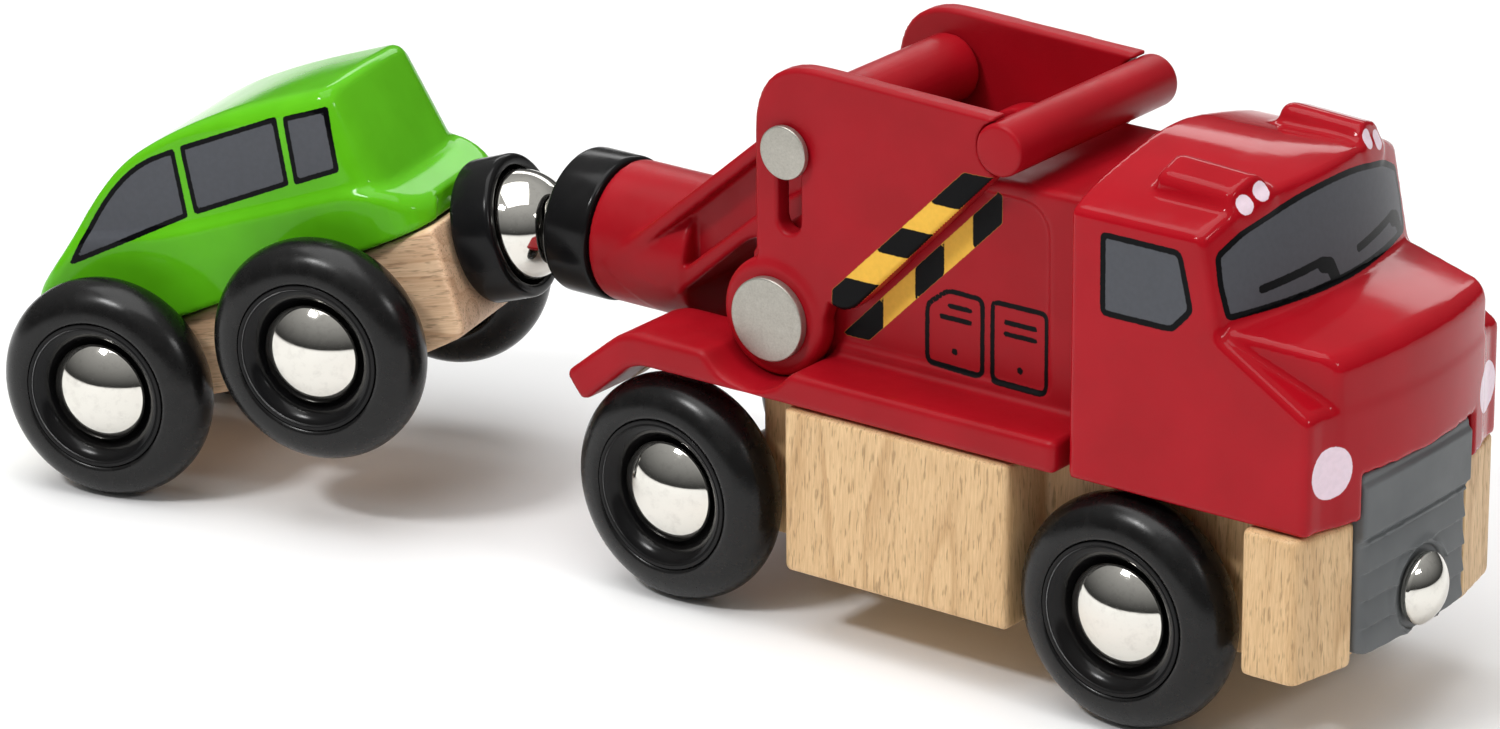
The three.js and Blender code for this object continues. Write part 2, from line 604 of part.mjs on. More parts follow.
/** Pivot rivet of one plate: wide flat head outside, shank into the box wall. */
function lowerPin(side) {
  const face = PLATE_OUT + GAP;
  const head = 1.1;
  const inner = BOX_HALF - BOX_WALL + 0.1;
  const shank = side < 0 ? [-face - 0.1, -inner] : [inner, face + 0.1];
  const disc = side < 0 ? [-face - head, -face] : [face, face + head];
  return fuse(
    rodY(PIVOT_SHANK, PIVOT_X, PIVOT_Z, ...shank, 20),
    rodY(PIVOT_HEAD, PIVOT_X, PIVOT_Z, ...disc, 32),
  );
}

// ---------------------------------------------------------------- boom

function boomArm() {
  const barrelEnd = BOOM_END + CAP_RING_LENGTH + GAP;
  const barrel = rodX(BARREL_RADIUS, 0, BARREL_Z, barrelEnd, BARREL_FRONT, 32);
  const armSide = outline([[-17, 34.5], [-8, 42.2], [11.5, 58.4], [18, 53.6], [24, 47], [37, 41.6], [37, 34.6],
    [31, 34.6], [16, 40.4], [3.5, 40.4], [-12.2, 26.4], [-17, 30]]);
  const arm = alongY(armSide, -BOOM_HALF, BOOM_HALF).intersect(
    fuse(
      rodX(BARREL_RADIUS, 0, BARREL_Z, barrelEnd, 0, 32),
      block(-30, 60, -BOOM_HALF, BOOM_HALF, BARREL_Z, 80),
      block(-7, 60, -BOOM_HALF, BOOM_HALF, 20, 80),
    ),
  );
  const hubHalf = PLATE_IN - RUN;
  const boss = fuse(
    rodY(HUB_RADIUS, HUB_X, HUB_Z, -hubHalf, hubHalf, 24),
    rodY(3.6, LIFT_PIN_X, LIFT_PIN_Z, -BOOM_HALF, BOOM_HALF, 20),
  );
  const pivotBoss = rodY(3.4, BOOM_PIVOT_X, BOOM_PIVOT_Z, -BOOM_HALF, BOOM_HALF, 24);
  const webSide = outline([[-9, 37.6], [9.5, 52.6], [14, 48.5], [5.5, 42.6], [1.2, 42.2], [-8.5, 33.4]], 0.8);
  const web = BOOM_HALF - 2.6;
  return cut(
    fuse(barrel, arm, boss, pivotBoss),
    alongY(webSide, -THROUGH, -web),
    alongY(webSide, web, THROUGH),
    rodY(LIFT_PIN_RADIUS + GAP, LIFT_PIN_X, LIFT_PIN_Z, -THROUGH, THROUGH, 16),
    rodY(BOOM_PIVOT_RADIUS + RUN, BOOM_PIVOT_X, BOOM_PIVOT_Z, -THROUGH, THROUGH, 16),
  );
}

const MAGNET_FACE = BOOM_END + GAP;

/** Black collar on the end of the barrel that holds the magnet. */
function boomCapRing() {
  const tube = rodX(CAP_RING_RADIUS, 0, BARREL_Z, BOOM_END, BOOM_END + CAP_RING_LENGTH, 32);
  return cut(tube, rodX(MAGNET_RADIUS + GAP, 0, BARREL_Z, BOOM_END - 1, MAGNET_FACE + MAGNET_THICK + GAP, 28));
}

function liftPin() {
  const face = PLATE_OUT + GAP;
  const head = 0.8;
  return fuse(
    rodY(LIFT_PIN_RADIUS, LIFT_PIN_X, LIFT_PIN_Z, -face - 0.1, face + 0.1, 16),
    rodY(LIFT_PIN_HEAD, LIFT_PIN_X, LIFT_PIN_Z, -face - head, -face, 28),
    rodY(LIFT_PIN_HEAD, LIFT_PIN_X, LIFT_PIN_Z, face, face + head, 28),
  );
}

// ---------------------------------------------------------------- towed car

const SILL_SLOPE = 0.142;
const sill = (x) => 5.4 + SILL_SLOPE * (x - 10);
const CAR_SOCKET = BALL_RADIUS + RUN;
const RING_BACK = CAR_BLOCK_REAR + 2 * GAP;

/** Car body in (x, z): short nose, raked screen, long roof and a stepped tail. */
function carSide(inset) {
  const low = inset > 0 ? 12 : 0;
  return outline([[-13.3 + inset, sill(-13.3) - low], [CAR_TAIL - inset, sill(CAR_TAIL) - low],
    [CAR_TAIL - inset, 12], [CAR_TAIL - 1.7 - inset, 14.3 - inset / 2], [38 - inset, 16.8 - inset],
    [35.8 - inset, 26.6 - inset], [34.2 - inset, 27.9 - inset], [26, 27.7 - inset], [15, 26.2 - inset],
    [7.5 + inset / 2, 24.1 - inset], [2.6 + inset / 2, 21 - inset], [-5.5 + inset, 13.9 - inset],
    [-9.5 + inset, 10.7 - inset], [-12.6 + inset, 7 - inset / 2]], 1.2, 2);
}

/** Car body in (y, z): upright below the windows and leaning in above them. */
function carSection(inset) {
  const half = CAR_HALF - inset;
  const top = 27.1 - inset;
  return outline([[-half, -20], [half, -20], [half, 14.5], [half - 1.4, top - 0.6], [half - 2.4, top + 0.3],
    [0, top + 0.9], [2.4 - half, top + 0.3], [1.4 - half, top - 0.6], [-half, 14.5]], 0.8, 2);
}

/** Car body in (x, y): rounded corners at the nose and rounder ones at the tail. */
function carPlan(inset) {
  const half = CAR_HALF - inset;
  const [nose, tail] = [-13.6 + inset, CAR_TAIL + 0.3 - inset];
  const plan = new THREE.Shape();
  plan.moveTo(nose + 5, -half);
  plan.lineTo(tail - 7, -half);
  plan.quadraticCurveTo(tail - 0.5, 0.5 - half, tail, 0);
  plan.quadraticCurveTo(tail - 0.5, half - 0.5, tail - 7, half);
  plan.lineTo(nose + 5, half);
  plan.quadraticCurveTo(nose, half - 1, nose, 0);
  plan.quadraticCurveTo(nose, 1 - half, nose + 5, -half);
  plan.userData = { steps: 5 };
  return plan;
}

function carShell() {
  const bodyOf = (inset) => alongY(carSide(inset), -THROUGH, THROUGH)
    .intersect(alongX(carSection(inset), -THROUGH, THROUGH))
    .intersect(alongZ(carPlan(inset), -THROUGH, THROUGH));
  const ringRoom = rodX(RING_RADIUS + GAP, 0, BALL_Z, CAR_BLOCK_REAR - 1, THROUGH);
  return cut(bodyOf(0), bodyOf(CAR_WALL), ringRoom);
}

function carChassis() {
  const side = outline([[CAR_BLOCK_FRONT, -4.8], [36, -4.8], [CAR_BLOCK_REAR, -3.2],
    [CAR_BLOCK_REAR, sill(CAR_BLOCK_REAR) - GAP], [CAR_BLOCK_FRONT, sill(CAR_BLOCK_FRONT) - GAP]], 1.2, 3);
  const bore = AXLE_RADIUS + GAP;
  return cut(
    alongY(side, -CAR_BLOCK_HALF, CAR_BLOCK_HALF),
    ball(CAR_SOCKET, BALL_X, 0, BALL_Z),
    rodY(bore, 0, 0, -THROUGH, THROUGH, 16),
    rodY(bore, CAR_WHEELBASE, 0, -THROUGH, THROUGH, 16),
  );
}

/** Black ring on the tail whose round socket holds the ball. */
function towRing() {
  return cut(rodX(RING_RADIUS, 0, BALL_Z, RING_BACK, RING_BACK + RING_LENGTH, 32), ball(CAR_SOCKET, BALL_X, 0, BALL_Z));
}

// ---------------------------------------------------------------- assembly

const truck = new THREE.Group();
piece(truck, 'chassis_block', chassisBlock(), beech);
piece(truck, 'front_grille', grille(), greyPlastic);
piece(truck, 'front_coupling_dome', frontDome(), chrome);
piece(truck, 'cab_shell', cabShell(), glossRed);
piece(truck, 'rear_body', rearBody(), satinRed);
SCREWS.forEach(([x, name]) => piece(truck, name, screwSolid(x), steel));
axleSet(truck, 'rear', 0, TYRE_RADIUS);
axleSet(truck, 'front', WHEELBASE, TYRE_RADIUS);

const pivotHalf = BOX_HALF - 1 - GAP;
const hinge = rodY(BOOM_PIVOT_RADIUS, BOOM_PIVOT_X, BOOM_PIVOT_Z, -pivotHalf, pivotHalf, 16);
piece(truck, 'boom_pivot_pin', hinge, steel);
for (const [side, sign] of [['right', -1], ['left', 1]]) {
  piece(truck, `${side}_lift_plate`, liftPlate(sign), satinRed);
  piece(truck, `${side}_lower_pin`, lowerPin(sign), steel);
}
const handleHalf = PLATE_OUT + 0.3;
piece(truck, 'handle_bar', rodY(HANDLE_RADIUS, HANDLE_X, HANDLE_Z, -handleHalf, handleHalf, 24), satinRed);

piece(truck, 'boom_arm', boomArm(), satinRed);
piece(truck, 'boom_cap_ring', boomCapRing(), blackPlastic);
piece(truck, 'boom_magnet', rodX(MAGNET_RADIUS, 0, BARREL_Z, MAGNET_FACE, MAGNET_FACE + MAGNET_THICK, 28), chrome);
piece(truck, 'lift_pin', liftPin(), steel);

// The ball touches the magnet, the car's nose swings out to the right, and its front wheels stand on the road.
const ballPlace = new THREE.Vector3(MAGNET_FACE - GAP - BALL_RADIUS, HITCH_SIDE, BARREL_Z - HITCH_DROP);
const CAR_PITCH = Math.asin((ballPlace.z - TYRE_RADIUS) / Math.hypot(BALL_X, BALL_Z)) - Math.atan2(BALL_Z, BALL_X);
const car = new THREE.Group();
car.rotation.set(0, -CAR_PITCH, CAR_YAW, 'ZYX');
const ballArm = new THREE.Vector3(BALL_X, 0, BALL_Z).applyEuler(car.rotation);
car.position.copy(ballPlace).sub(ballArm);
piece(car, 'car_shell', carShell(), glossGreen);
piece(car, 'car_chassis', carChassis(), beech);
piece(car, 'tow_ring', towRing(), blackPlastic);
piece(car, 'tow_ball', ball(BALL_RADIUS, BALL_X, 0, BALL_Z), chrome);
axleSet(car, 'car_front', 0, 0);
axleSet(car, 'car_rear', CAR_WHEELBASE, 0);

const model = new THREE.Group();
model.add(truck, car);
model.updateMatrixWorld(true);

// The finished toy stands on z = 0 with the middle of its box over the origin.
const bounds = new THREE.Box3().setFromObject(model, true);
const middle = bounds.getCenter(new THREE.Vector3());
model.position.set(-middle.x, -middle.y, -bounds.min.z);
model.updateMatrixWorld(true);

export default model;
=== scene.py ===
# %% [markdown]
# # Toy tow truck with a small towed car
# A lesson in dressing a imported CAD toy.  The CAD pieces say where everything is and how it moves.
# Here every moulding is modelled again as a distance field with real fillets, every turned piece is
# spun from its profile, and each gets the finish of the real material.
# Sizes are in millimetres in the truck's own frame: x forward from the rear axle, y to the left,
# z up from the road.  They are turned into the row frame in metres as each mesh is made.

# %% Load the frame
import math

import bpy
import numpy as np
from mathutils import Matrix, Vector


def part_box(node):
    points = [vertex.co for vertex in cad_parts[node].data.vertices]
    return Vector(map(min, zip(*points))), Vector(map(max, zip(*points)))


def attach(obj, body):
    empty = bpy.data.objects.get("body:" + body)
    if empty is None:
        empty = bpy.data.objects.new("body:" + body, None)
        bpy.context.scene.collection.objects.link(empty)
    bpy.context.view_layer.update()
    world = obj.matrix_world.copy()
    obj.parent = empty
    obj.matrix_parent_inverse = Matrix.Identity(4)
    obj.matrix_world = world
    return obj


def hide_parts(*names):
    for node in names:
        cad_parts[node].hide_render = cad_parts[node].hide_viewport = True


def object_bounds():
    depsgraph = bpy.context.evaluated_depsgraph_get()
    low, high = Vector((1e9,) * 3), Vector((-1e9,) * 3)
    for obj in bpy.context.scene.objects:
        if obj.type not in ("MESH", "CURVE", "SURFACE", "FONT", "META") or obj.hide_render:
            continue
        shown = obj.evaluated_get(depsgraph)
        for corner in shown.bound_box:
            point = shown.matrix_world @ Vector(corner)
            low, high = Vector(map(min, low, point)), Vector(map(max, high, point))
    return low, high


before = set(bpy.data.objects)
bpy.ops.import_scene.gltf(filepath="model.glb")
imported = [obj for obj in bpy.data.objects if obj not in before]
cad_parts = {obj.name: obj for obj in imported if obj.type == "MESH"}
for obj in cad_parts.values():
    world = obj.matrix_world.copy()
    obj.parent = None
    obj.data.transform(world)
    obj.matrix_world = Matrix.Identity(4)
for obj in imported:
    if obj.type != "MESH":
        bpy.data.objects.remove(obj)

MM = 0.001
SIZE_BEFORE = [list(corner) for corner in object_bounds()]

# %% [markdown]
# ## Two working frames
# The truck's frame only needs the place of the rear axle.  The car is tilted and turned, so its frame
# is read from its own two axles: x runs from the front axle to the rear one, y is level.

# %% Working frames


def middle(node):
    """Middle of a CAD node's box, in millimetres."""
    low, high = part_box(node)
    return (np.array(low) + np.array(high)) / 2 / MM


class Place:
    """A working frame: row point = origin + axes . local point."""

    def __init__(self, origin, x_axis=(1.0, 0.0, 0.0)):
        x = np.array(x_axis, float)
        x /= np.linalg.norm(x)
        y = np.array([-x[1], x[0], 0.0])
        y /= np.linalg.norm(y)
        self.origin = np.array(origin, float)
        self.axes = np.stack([x, y, np.cross(x, y)])

    def to_row(self, points):
        """Points of this frame in the row frame, in metres."""
        return (self.origin + np.asarray(points, float) @ self.axes) * MM


rear = middle("rear_axle")
TRUCK = Place([rear[0], rear[1], 0.0])
car_front, car_rear = middle("car_front_axle"), middle("car_rear_axle")
CAR = Place(car_front, car_rear - car_front)
WHEELBASE = middle("front_axle")[0] - rear[0]
CAR_WHEELBASE = float(np.linalg.norm(car_rear - car_front))
print("truck wheelbase", round(WHEELBASE, 2), "car wheelbase", round(CAR_WHEELBASE, 2))

# %% [markdown]
# ## Distance fields
# A field is negative inside the solid, and its size is the distance to the surface.
# Two fields meet with a round edge of radius r by
# `min(max(a, b), -r) + hypot(max(a + r, 0), max(b + r, 0))`, and the same formula turned inside out
# joins them with a fillet.

# %% Field tools


def meet(a, b, r=0.0):
    """Inside both solids, with the edge between them rounded by r."""
    return np.minimum(np.maximum(a, b), -r) + np.hypot(np.maximum(a + r, 0), np.maximum(b + r, 0))


def join(a, b, r=0.0):
    """Inside either solid, with the corner between them filled by radius r."""
    return -meet(-a, -b, r)


def carve(a, b, r=0.0):
    """The first solid less the second, with the new edge rounded by r."""
    return meet(a, -b, r)


def rounded(points, radius, steps=6):
    """Outline whose corners are replaced by smooth curves that start radius before each corner."""
    points = np.array(points, float)
    out = []
    for i, corner in enumerate(points):
        before, after = points[i - 1], points[(i + 1) % len(points)]
        reach = radius[i] if np.ndim(radius) else radius
        to_before, to_after = before - corner, after - corner
        start = corner + to_before * min(0.5, reach / np.hypot(*to_before))
        end = corner + to_after * min(0.5, reach / np.hypot(*to_after))
        t = np.linspace(0, 1, steps)[:, None]
        out.append((1 - t) ** 2 * start + 2 * t * (1 - t) * corner + t ** 2 * end)
    return np.concatenate(out)


def mirrored(half, at=0):
    """The given points, then their mirror images backwards; the coordinate numbered at changes sign."""
    half = np.array(half, float)
    sign = np.ones(2)
    sign[at] = -1.0
    images = [point * sign for point in half[::-1] if point[at] != 0]
    return np.concatenate([half, images])


def flat(outline, u, v):
    """Signed distance from (u, v) to a closed outline: nearest side, negative where the winding is odd."""
    nearest = np.full(np.broadcast(u, v).shape, 1e9)
    inside = np.zeros(nearest.shape, bool)
    for a, b in zip(outline, np.roll(outline, -1, axis=0)):
        side = b - a
        length = side @ side
        if length < 1e-9:
            continue
        t = np.clip(((u - a[0]) * side[0] + (v - a[1]) * side[1]) / length, 0, 1)
        nearest = np.minimum(nearest, (u - a[0] - t * side[0]) ** 2 + (v - a[1] - t * side[1]) ** 2)
        crosses = (a[1] > v) != (b[1] > v)
        if side[1] != 0:
            inside ^= crosses & (u < a[0] + (v - a[1]) * side[0] / side[1])
    return np.where(inside, -1, 1) * np.sqrt(nearest)


class Room:
    """A grid of points between two corners, with the three coordinates ready to broadcast."""

    def __init__(self, low, high, cell):
        self.low = np.array(low, float) + cell * 0.37
        self.cell = cell
        counts = np.ceil((np.array(high) - self.low) / cell).astype(int) + 1
        x, y, z = [self.low[i] + cell * np.arange(counts[i]) for i in range(3)]
        self.x, self.y, self.z = x[:, None, None], y[None, :, None], z[None, None, :]

    def along_y(self, outline):
        """Field of an (x, z) outline that runs along y."""
        return flat(outline, self.x[:, 0], self.z[:, 0])[:, None, :]

    def along_x(self, outline):
        """Field of a (y, z) outline that runs along x."""
        return flat(outline, self.y[0], self.z[0])[None, :, :]

    def along_z(self, outline):
        """Field of an (x, y) outline that runs along z."""
        return flat(outline, self.x[:, :, 0], self.y[:, :, 0])[:, :, None]

    def slab(self, axis, low, high):
        """Field of the space between two planes."""
        value = (self.x, self.y, self.z)[axis]
        return np.maximum(low - value, value - high)

    def rod(self, axis, centre, radius):
        """Field of an endless round bar along an axis; the centre gives the other two coordinates."""
        first, second = [(self.x, self.y, self.z)[k] for k in range(3) if k != axis]
        return np.hypot(first - centre[0], second - centre[1]) - radius

    def ball(self, centre, radius):
        """Field of a ball."""
        across = np.hypot(self.x - centre[0], self.y - centre[1])
        return np.hypot(across, self.z - centre[2]) - radius


# %% [markdown]
# ## From a field to a skin
# Every grid edge that the surface crosses gives a crossing point.  Each grid cell that holds crossings
# gets one vertex at their mean, and each crossed edge gets one quad between the four cells round it.

# %% Skin of a field


def skin(room, field):
    """Vertices and quads of the zero level of a field, with every face outward."""
    shape = np.broadcast_shapes(room.x.shape, room.y.shape, room.z.shape)
    field = np.broadcast_to(field, shape)
    cells = np.array(shape) - 1
    total = np.zeros((int(np.prod(cells)), 3))
    count = np.zeros(int(np.prod(cells)))
    quads = []
    for axis in range(3):
        b, c = (axis + 1) % 3, (axis + 2) % 3
        first = np.moveaxis(field, axis, 0)
        start, end = first[:-1], first[1:]
        found = np.moveaxis((start < 0) != (end < 0), 0, axis)
        index = np.stack(np.nonzero(found), axis=1)
        f0 = field[tuple(index.T)]
        step = np.zeros(3, int)
        step[axis] = 1
        f1 = field[tuple((index + step).T)]
        point = index.astype(float)
        point[:, axis] += f0 / (f0 - f1)
        around = []
        for db, dc in ((-1, -1), (0, -1), (0, 0), (-1, 0)):
            cell = index.copy()
            cell[:, b] += db
            cell[:, c] += dc
            key = np.ravel_multi_index(cell.T, cells)
            for k in range(3):
                total[:, k] += np.bincount(key, point[:, k], len(count))
            count += np.bincount(key, minlength=len(count))
            around.append(key)
        quad = np.stack(around, axis=1)
        quads.append(np.where((f0 < 0)[:, None], quad, quad[:, ::-1]))
    used = np.nonzero(count)[0]
    number = np.full(len(count), -1)
    number[used] = np.arange(len(used))
    vertices = room.low + room.cell * total[used] / count[used][:, None]
    return vertices, number[np.concatenate(quads)]


def add_mesh(name, vertices, faces, place):
    """Smooth mesh object at the origin, from points in a working frame."""
    mesh = bpy.data.meshes.new(name)
    points = place.to_row(vertices).astype(np.float32)
    faces = np.asarray(faces, np.int32)
    mesh.vertices.add(len(points))
    mesh.vertices.foreach_set("co", points.ravel())
    mesh.loops.add(faces.size)
    mesh.loops.foreach_set("vertex_index", faces.ravel())
    mesh.polygons.add(len(faces))
    mesh.polygons.foreach_set("loop_start", np.arange(0, faces.size, faces.shape[1], dtype=np.int32))
    mesh.update(calc_edges=True)
    mesh.validate()
    mesh.polygons.foreach_set("use_smooth", np.ones(len(mesh.polygons), bool))
    thing = bpy.data.objects.new(name, mesh)
    bpy.context.scene.collection.objects.link(thing)
    return thing


def settle(thing, body, nodes, material):
    """Give a finished piece its material and its body, and hide the CAD nodes that it stands for."""
    thing.data.materials.clear()
    thing.data.materials.append(material)
    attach(thing, body)
    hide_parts(*([nodes] if isinstance(nodes, str) else nodes))
    print(thing.name, len(thing.data.polygons), "faces")


def moulding(name, room, field, place, prints=None):
    """Piece from a field, with each print's signed distance in millimetres kept at the vertices."""
    vertices, quads = skin(room, field)
    thing = add_mesh(name, vertices, quads, place)
    for key, measure in (prints or {}).items():
        layer = thing.data.attributes.new(key, "FLOAT", "POINT")
        layer.data.foreach_set("value", measure(vertices).astype(np.float32))
    return thing


# %% [markdown]
# ## Turned pieces
# A profile of (radius, height) pairs is spun about an axis.  Rings that touch the axis close in one
# vertex, so every turned piece is one closed skin.

# %% Turning
FORWARD, SIDEWAYS = (1.0, 0.0, 0.0), (0.0, 1.0, 0.0)


def turn(name, profile, centre, axis, place, sides=96, closed=False):
    """Spin a profile: vertex(i, j) = centre + r_i (cos a_j u + sin a_j v) + h_i axis."""
    profile = np.array(profile, float)
    axis = np.array(axis, float) / np.linalg.norm(axis)
    u = np.cross(axis, (0.0, 0.0, 1.0) if abs(axis[2]) < 0.9 else (1.0, 0.0, 0.0))
    u /= np.linalg.norm(u)
    v = np.cross(axis, u)
    angle = 2 * np.pi * np.arange(sides) / sides
    spoke = np.cos(angle)[:, None] * u + np.sin(angle)[:, None] * v
    points, rows = [], []
    for radius, height in profile:
        start = sum(len(p) for p in points)
        if radius < 1e-6:
            points.append(np.array([[*(np.array(centre) + height * axis)]]))
            rows.append(np.full(sides, start))
        else:
            points.append(np.array(centre) + radius * spoke + height * axis)
            rows.append(start + np.arange(sides))
    if closed:
        rows.append(rows[0])
    faces = []
    for low, high in zip(rows, rows[1:]):
        band = np.stack([low, np.roll(low, -1), np.roll(high, -1), high], axis=1)
        faces += [[k for i, k in enumerate(face) if k != face[i - 1]] for face in band.tolist()]
    faces = [face for face in faces if len(face) > 2]
    mesh = bpy.data.meshes.new(name)
    mesh.from_pydata(place.to_row(np.concatenate(points)).tolist(), [], faces)
    mesh.validate()
    mesh.polygons.foreach_set("use_smooth", np.ones(len(mesh.polygons), bool))
    thing = bpy.data.objects.new(name, mesh)
    bpy.context.scene.collection.objects.link(thing)
    return thing


def soften(profile, radius, steps=5):
    """Open profile with its corners rounded and its two ends kept."""
    inner = rounded(profile, radius, steps)
    return np.concatenate([[profile[0]], inner[steps:-steps], [profile[-1]]])


# %% [markdown]
# ## Finishes
# Every finish is procedural and reads object coordinates, so the pattern stays fixed on the piece.
# The small builder below adds nodes by type, sets their sockets, and joins them by name.

# %% Node builder


class Finish:
    """A material under construction."""

    def __init__(self, name):
        self.material = bpy.data.materials.new(name)
        self.material.use_nodes = True
        self.nodes = self.material.node_tree.nodes
        self.links = self.material.node_tree.links
        self.shader = self.nodes["Principled BSDF"]
        self.where = self.nodes.new("ShaderNodeTexCoord").outputs["Object"]

    def node(self, kind, settings=None, **sockets):
        """New node of a kind, with its settings and its inputs."""
        made = self.nodes.new("ShaderNode" + kind)
        for key, value in (settings or {}).items():
            setattr(made, key, value)
        for key, value in sockets.items():
            self.put(made, key, value)
        return made

    def put(self, made, key, value):
        """Set or join an input: _2 means the socket with that number, other underscores are spaces."""
        socket = made.inputs[int(key[1:])] if key[1:].isdigit() else made.inputs[key.replace("_", " ")]
        if isinstance(value, bpy.types.NodeSocket):
            self.links.new(value, socket)
        else:
            socket.default_value = value

    def stretch(self, scale, turn_by=(0.0, 0.0, 0.0)):
        """Object coordinates, turned and then scaled."""
        turned = self.node("Mapping", {"vector_type": "TEXTURE"}, Vector=self.where, Rotation=turn_by)
        return self.node("Mapping", Vector=turned.outputs[0], Scale=scale).outputs[0]

    def noise(self, scale, detail=4.0, rough=0.5, vector=None):
        """Cloudy pattern; the scale is in waves per metre unless the vector is already stretched."""
        made = self.node("TexNoise", Vector=vector or self.where, Scale=scale, Detail=detail, Roughness=rough)
        return made.outputs[0]

    def ramp(self, value, *stops):
        """Colour ramp; each stop is (position, colour or grey)."""
        made = self.node("ValToRGB", Fac=value)
        elements = made.color_ramp.elements
        while len(elements) < len(stops):
            elements.new(0.5)
        for element, (position, colour) in zip(elements, stops):
            element.position = position
            element.color = (*colour, 1) if isinstance(colour, tuple) else (colour, colour, colour, 1)
        return made.outputs["Color"]

    def span(self, value, low, high, out_low, out_high):
        """Value from one range to another, held at the ends."""
        made = self.node("MapRange", None, Value=value)
        for key, number in zip(("From Min", "From Max", "To Min", "To Max"), (low, high, out_low, out_high)):
            made.inputs[key].default_value = number
        return made.outputs[0]

    def mix(self, amount, first, second):
        """Colour between two colours."""
        made = self.node("Mix", {"data_type": "RGBA"})
        for key, value in ((0, amount), (6, first), (7, second)):
            if isinstance(value, bpy.types.NodeSocket):
                self.links.new(value, made.inputs[key])
            else:
                made.inputs[key].default_value = (*value, 1) if isinstance(value, tuple) else value
        return made.outputs[2]

    def maths(self, operation, first, second=0.0):
        """One sum, product or other operation on two numbers."""
        made = self.node("Math", {"operation": operation}, _0=first, _1=second)
        return made.outputs[0]

    def bump(self, height, strength, distance):
        """Relief in millimetres, added after the bumps already there."""
        made = self.node("Bump", Height=height, Strength=strength, Distance=distance * MM)
        last = self.shader.inputs["Normal"]
        if last.is_linked:
            self.links.new(last.links[0].from_socket, made.inputs["Normal"])
        self.links.new(made.outputs[0], last)

    def set(self, **sockets):
        """Set or join the shader's own sockets."""
        for key, value in sockets.items():
            if isinstance(value, tuple) and len(value) == 3 and key == "Base_Color":
                value = (*value, 1)
            self.put(self.shader, key, value)

    def scratches(self, amount=0.03):
        """Fine hairline scuffs in two directions, for roughness."""
        lines = None
        for turn_by, scale in (((0.3, 0.5, 0.9), (2500, 60, 2500)), ((1.2, -0.4, 0.2), (60, 2600, 2600))):
            line = self.noise(1.0, 2.0, 0.6, self.stretch(scale, turn_by))
            thin = self.span(line, 0.68, 0.74, 0.0, amount)
            lines = thin if lines is None else self.maths("ADD", lines, thin)
        return lines


# %% [markdown]
# ### Plastics
# Moulded plastic is never quite even: the colour drifts a little, the gloss varies in soft patches
# with faint scuffs, and the surface has a very fine orange peel.  The satin moulding has a finer,
# deeper spark texture that breaks its highlights into sparkles.

# %% Plastics
SCALE = 1.0 / MM


def plastic(name, colour, dark, rough, peel, glow=0.0, fine=0.0, shine=0.17):
    """Moulded plastic between two close colours; rough is (smoothest, roughest)."""
    made = Finish(name)
    drift = made.noise(0.11 * SCALE, 3.0)
    body = made.mix(made.span(drift, 0.35, 0.65, 0.0, 1.0), colour, dark)
    patches = made.span(made.noise(0.35 * SCALE, 5.0, 0.6), 0.3, 0.7, rough[0], rough[1])
    made.set(Base_Color=body, Roughness=made.maths("ADD", patches, made.scratches()), IOR=1.5)
    made.set(Specular_IOR_Level=shine)
    if glow:
        made.set(Subsurface_Weight=glow, Subsurface_Radius=(0.6, 0.25, 0.2), Subsurface_Scale=0.0012)
    made.bump(made.noise(0.9 * SCALE, 2.0), peel, 0.05)
    if fine:
        made.bump(made.noise(5.5 * SCALE, 2.0, 0.7), fine, 0.06)
    return made


RED_GLOSS = ((0.39, 0.0045, 0.012), (0.345, 0.004, 0.010))
RED_SATIN = ((0.36, 0.0045, 0.0115), (0.315, 0.004, 0.0095))
GREEN = ((0.115, 0.50, 0.010), (0.10, 0.44, 0.007))
GREY = ((0.15, 0.157, 0.16), (0.125, 0.132, 0.136))
BLACK = ((0.005, 0.005, 0.0055), (0.008, 0.0075, 0.0075))
PANE = (0.088, 0.092, 0.104)
INK = (0.003, 0.003, 0.0035)
YELLOW = (0.86, 0.50, 0.07)
LENS = (0.90, 0.73, 0.82)
INK_SHINE = 0.45


def printed(made, layers):
    """Lay prints over the base colour; each is (attribute, colour, edge distance in mm)."""
    colour = made.shader.inputs["Base Color"].links[0].from_socket
    covered = 0.0
    for key, ink, edge in layers:
        measure = made.node("Attribute", {"attribute_name": key}).outputs["Fac"]
        ragged = made.maths("ADD", measure, made.span(made.noise(2.2 * SCALE, 2.0), 0.3, 0.7, -0.025, 0.025))
        over = made.span(ragged, edge - 0.04, edge + 0.04, 1.0, 0.0)
        blotch = made.span(made.noise(1.6 * SCALE, 3.0), 0.35, 0.65, 0.0, 0.3)
        tone = made.mix(blotch, ink, tuple(0.8 * c for c in ink))
        colour = made.mix(over, colour, tone)
        covered = made.maths("MAXIMUM", covered, over)
    shine = made.shader.inputs["Specular IOR Level"].default_value
    made.set(Base_Color=colour, Specular_IOR_Level=made.span(covered, 0.0, 1.0, shine, INK_SHINE * shine))


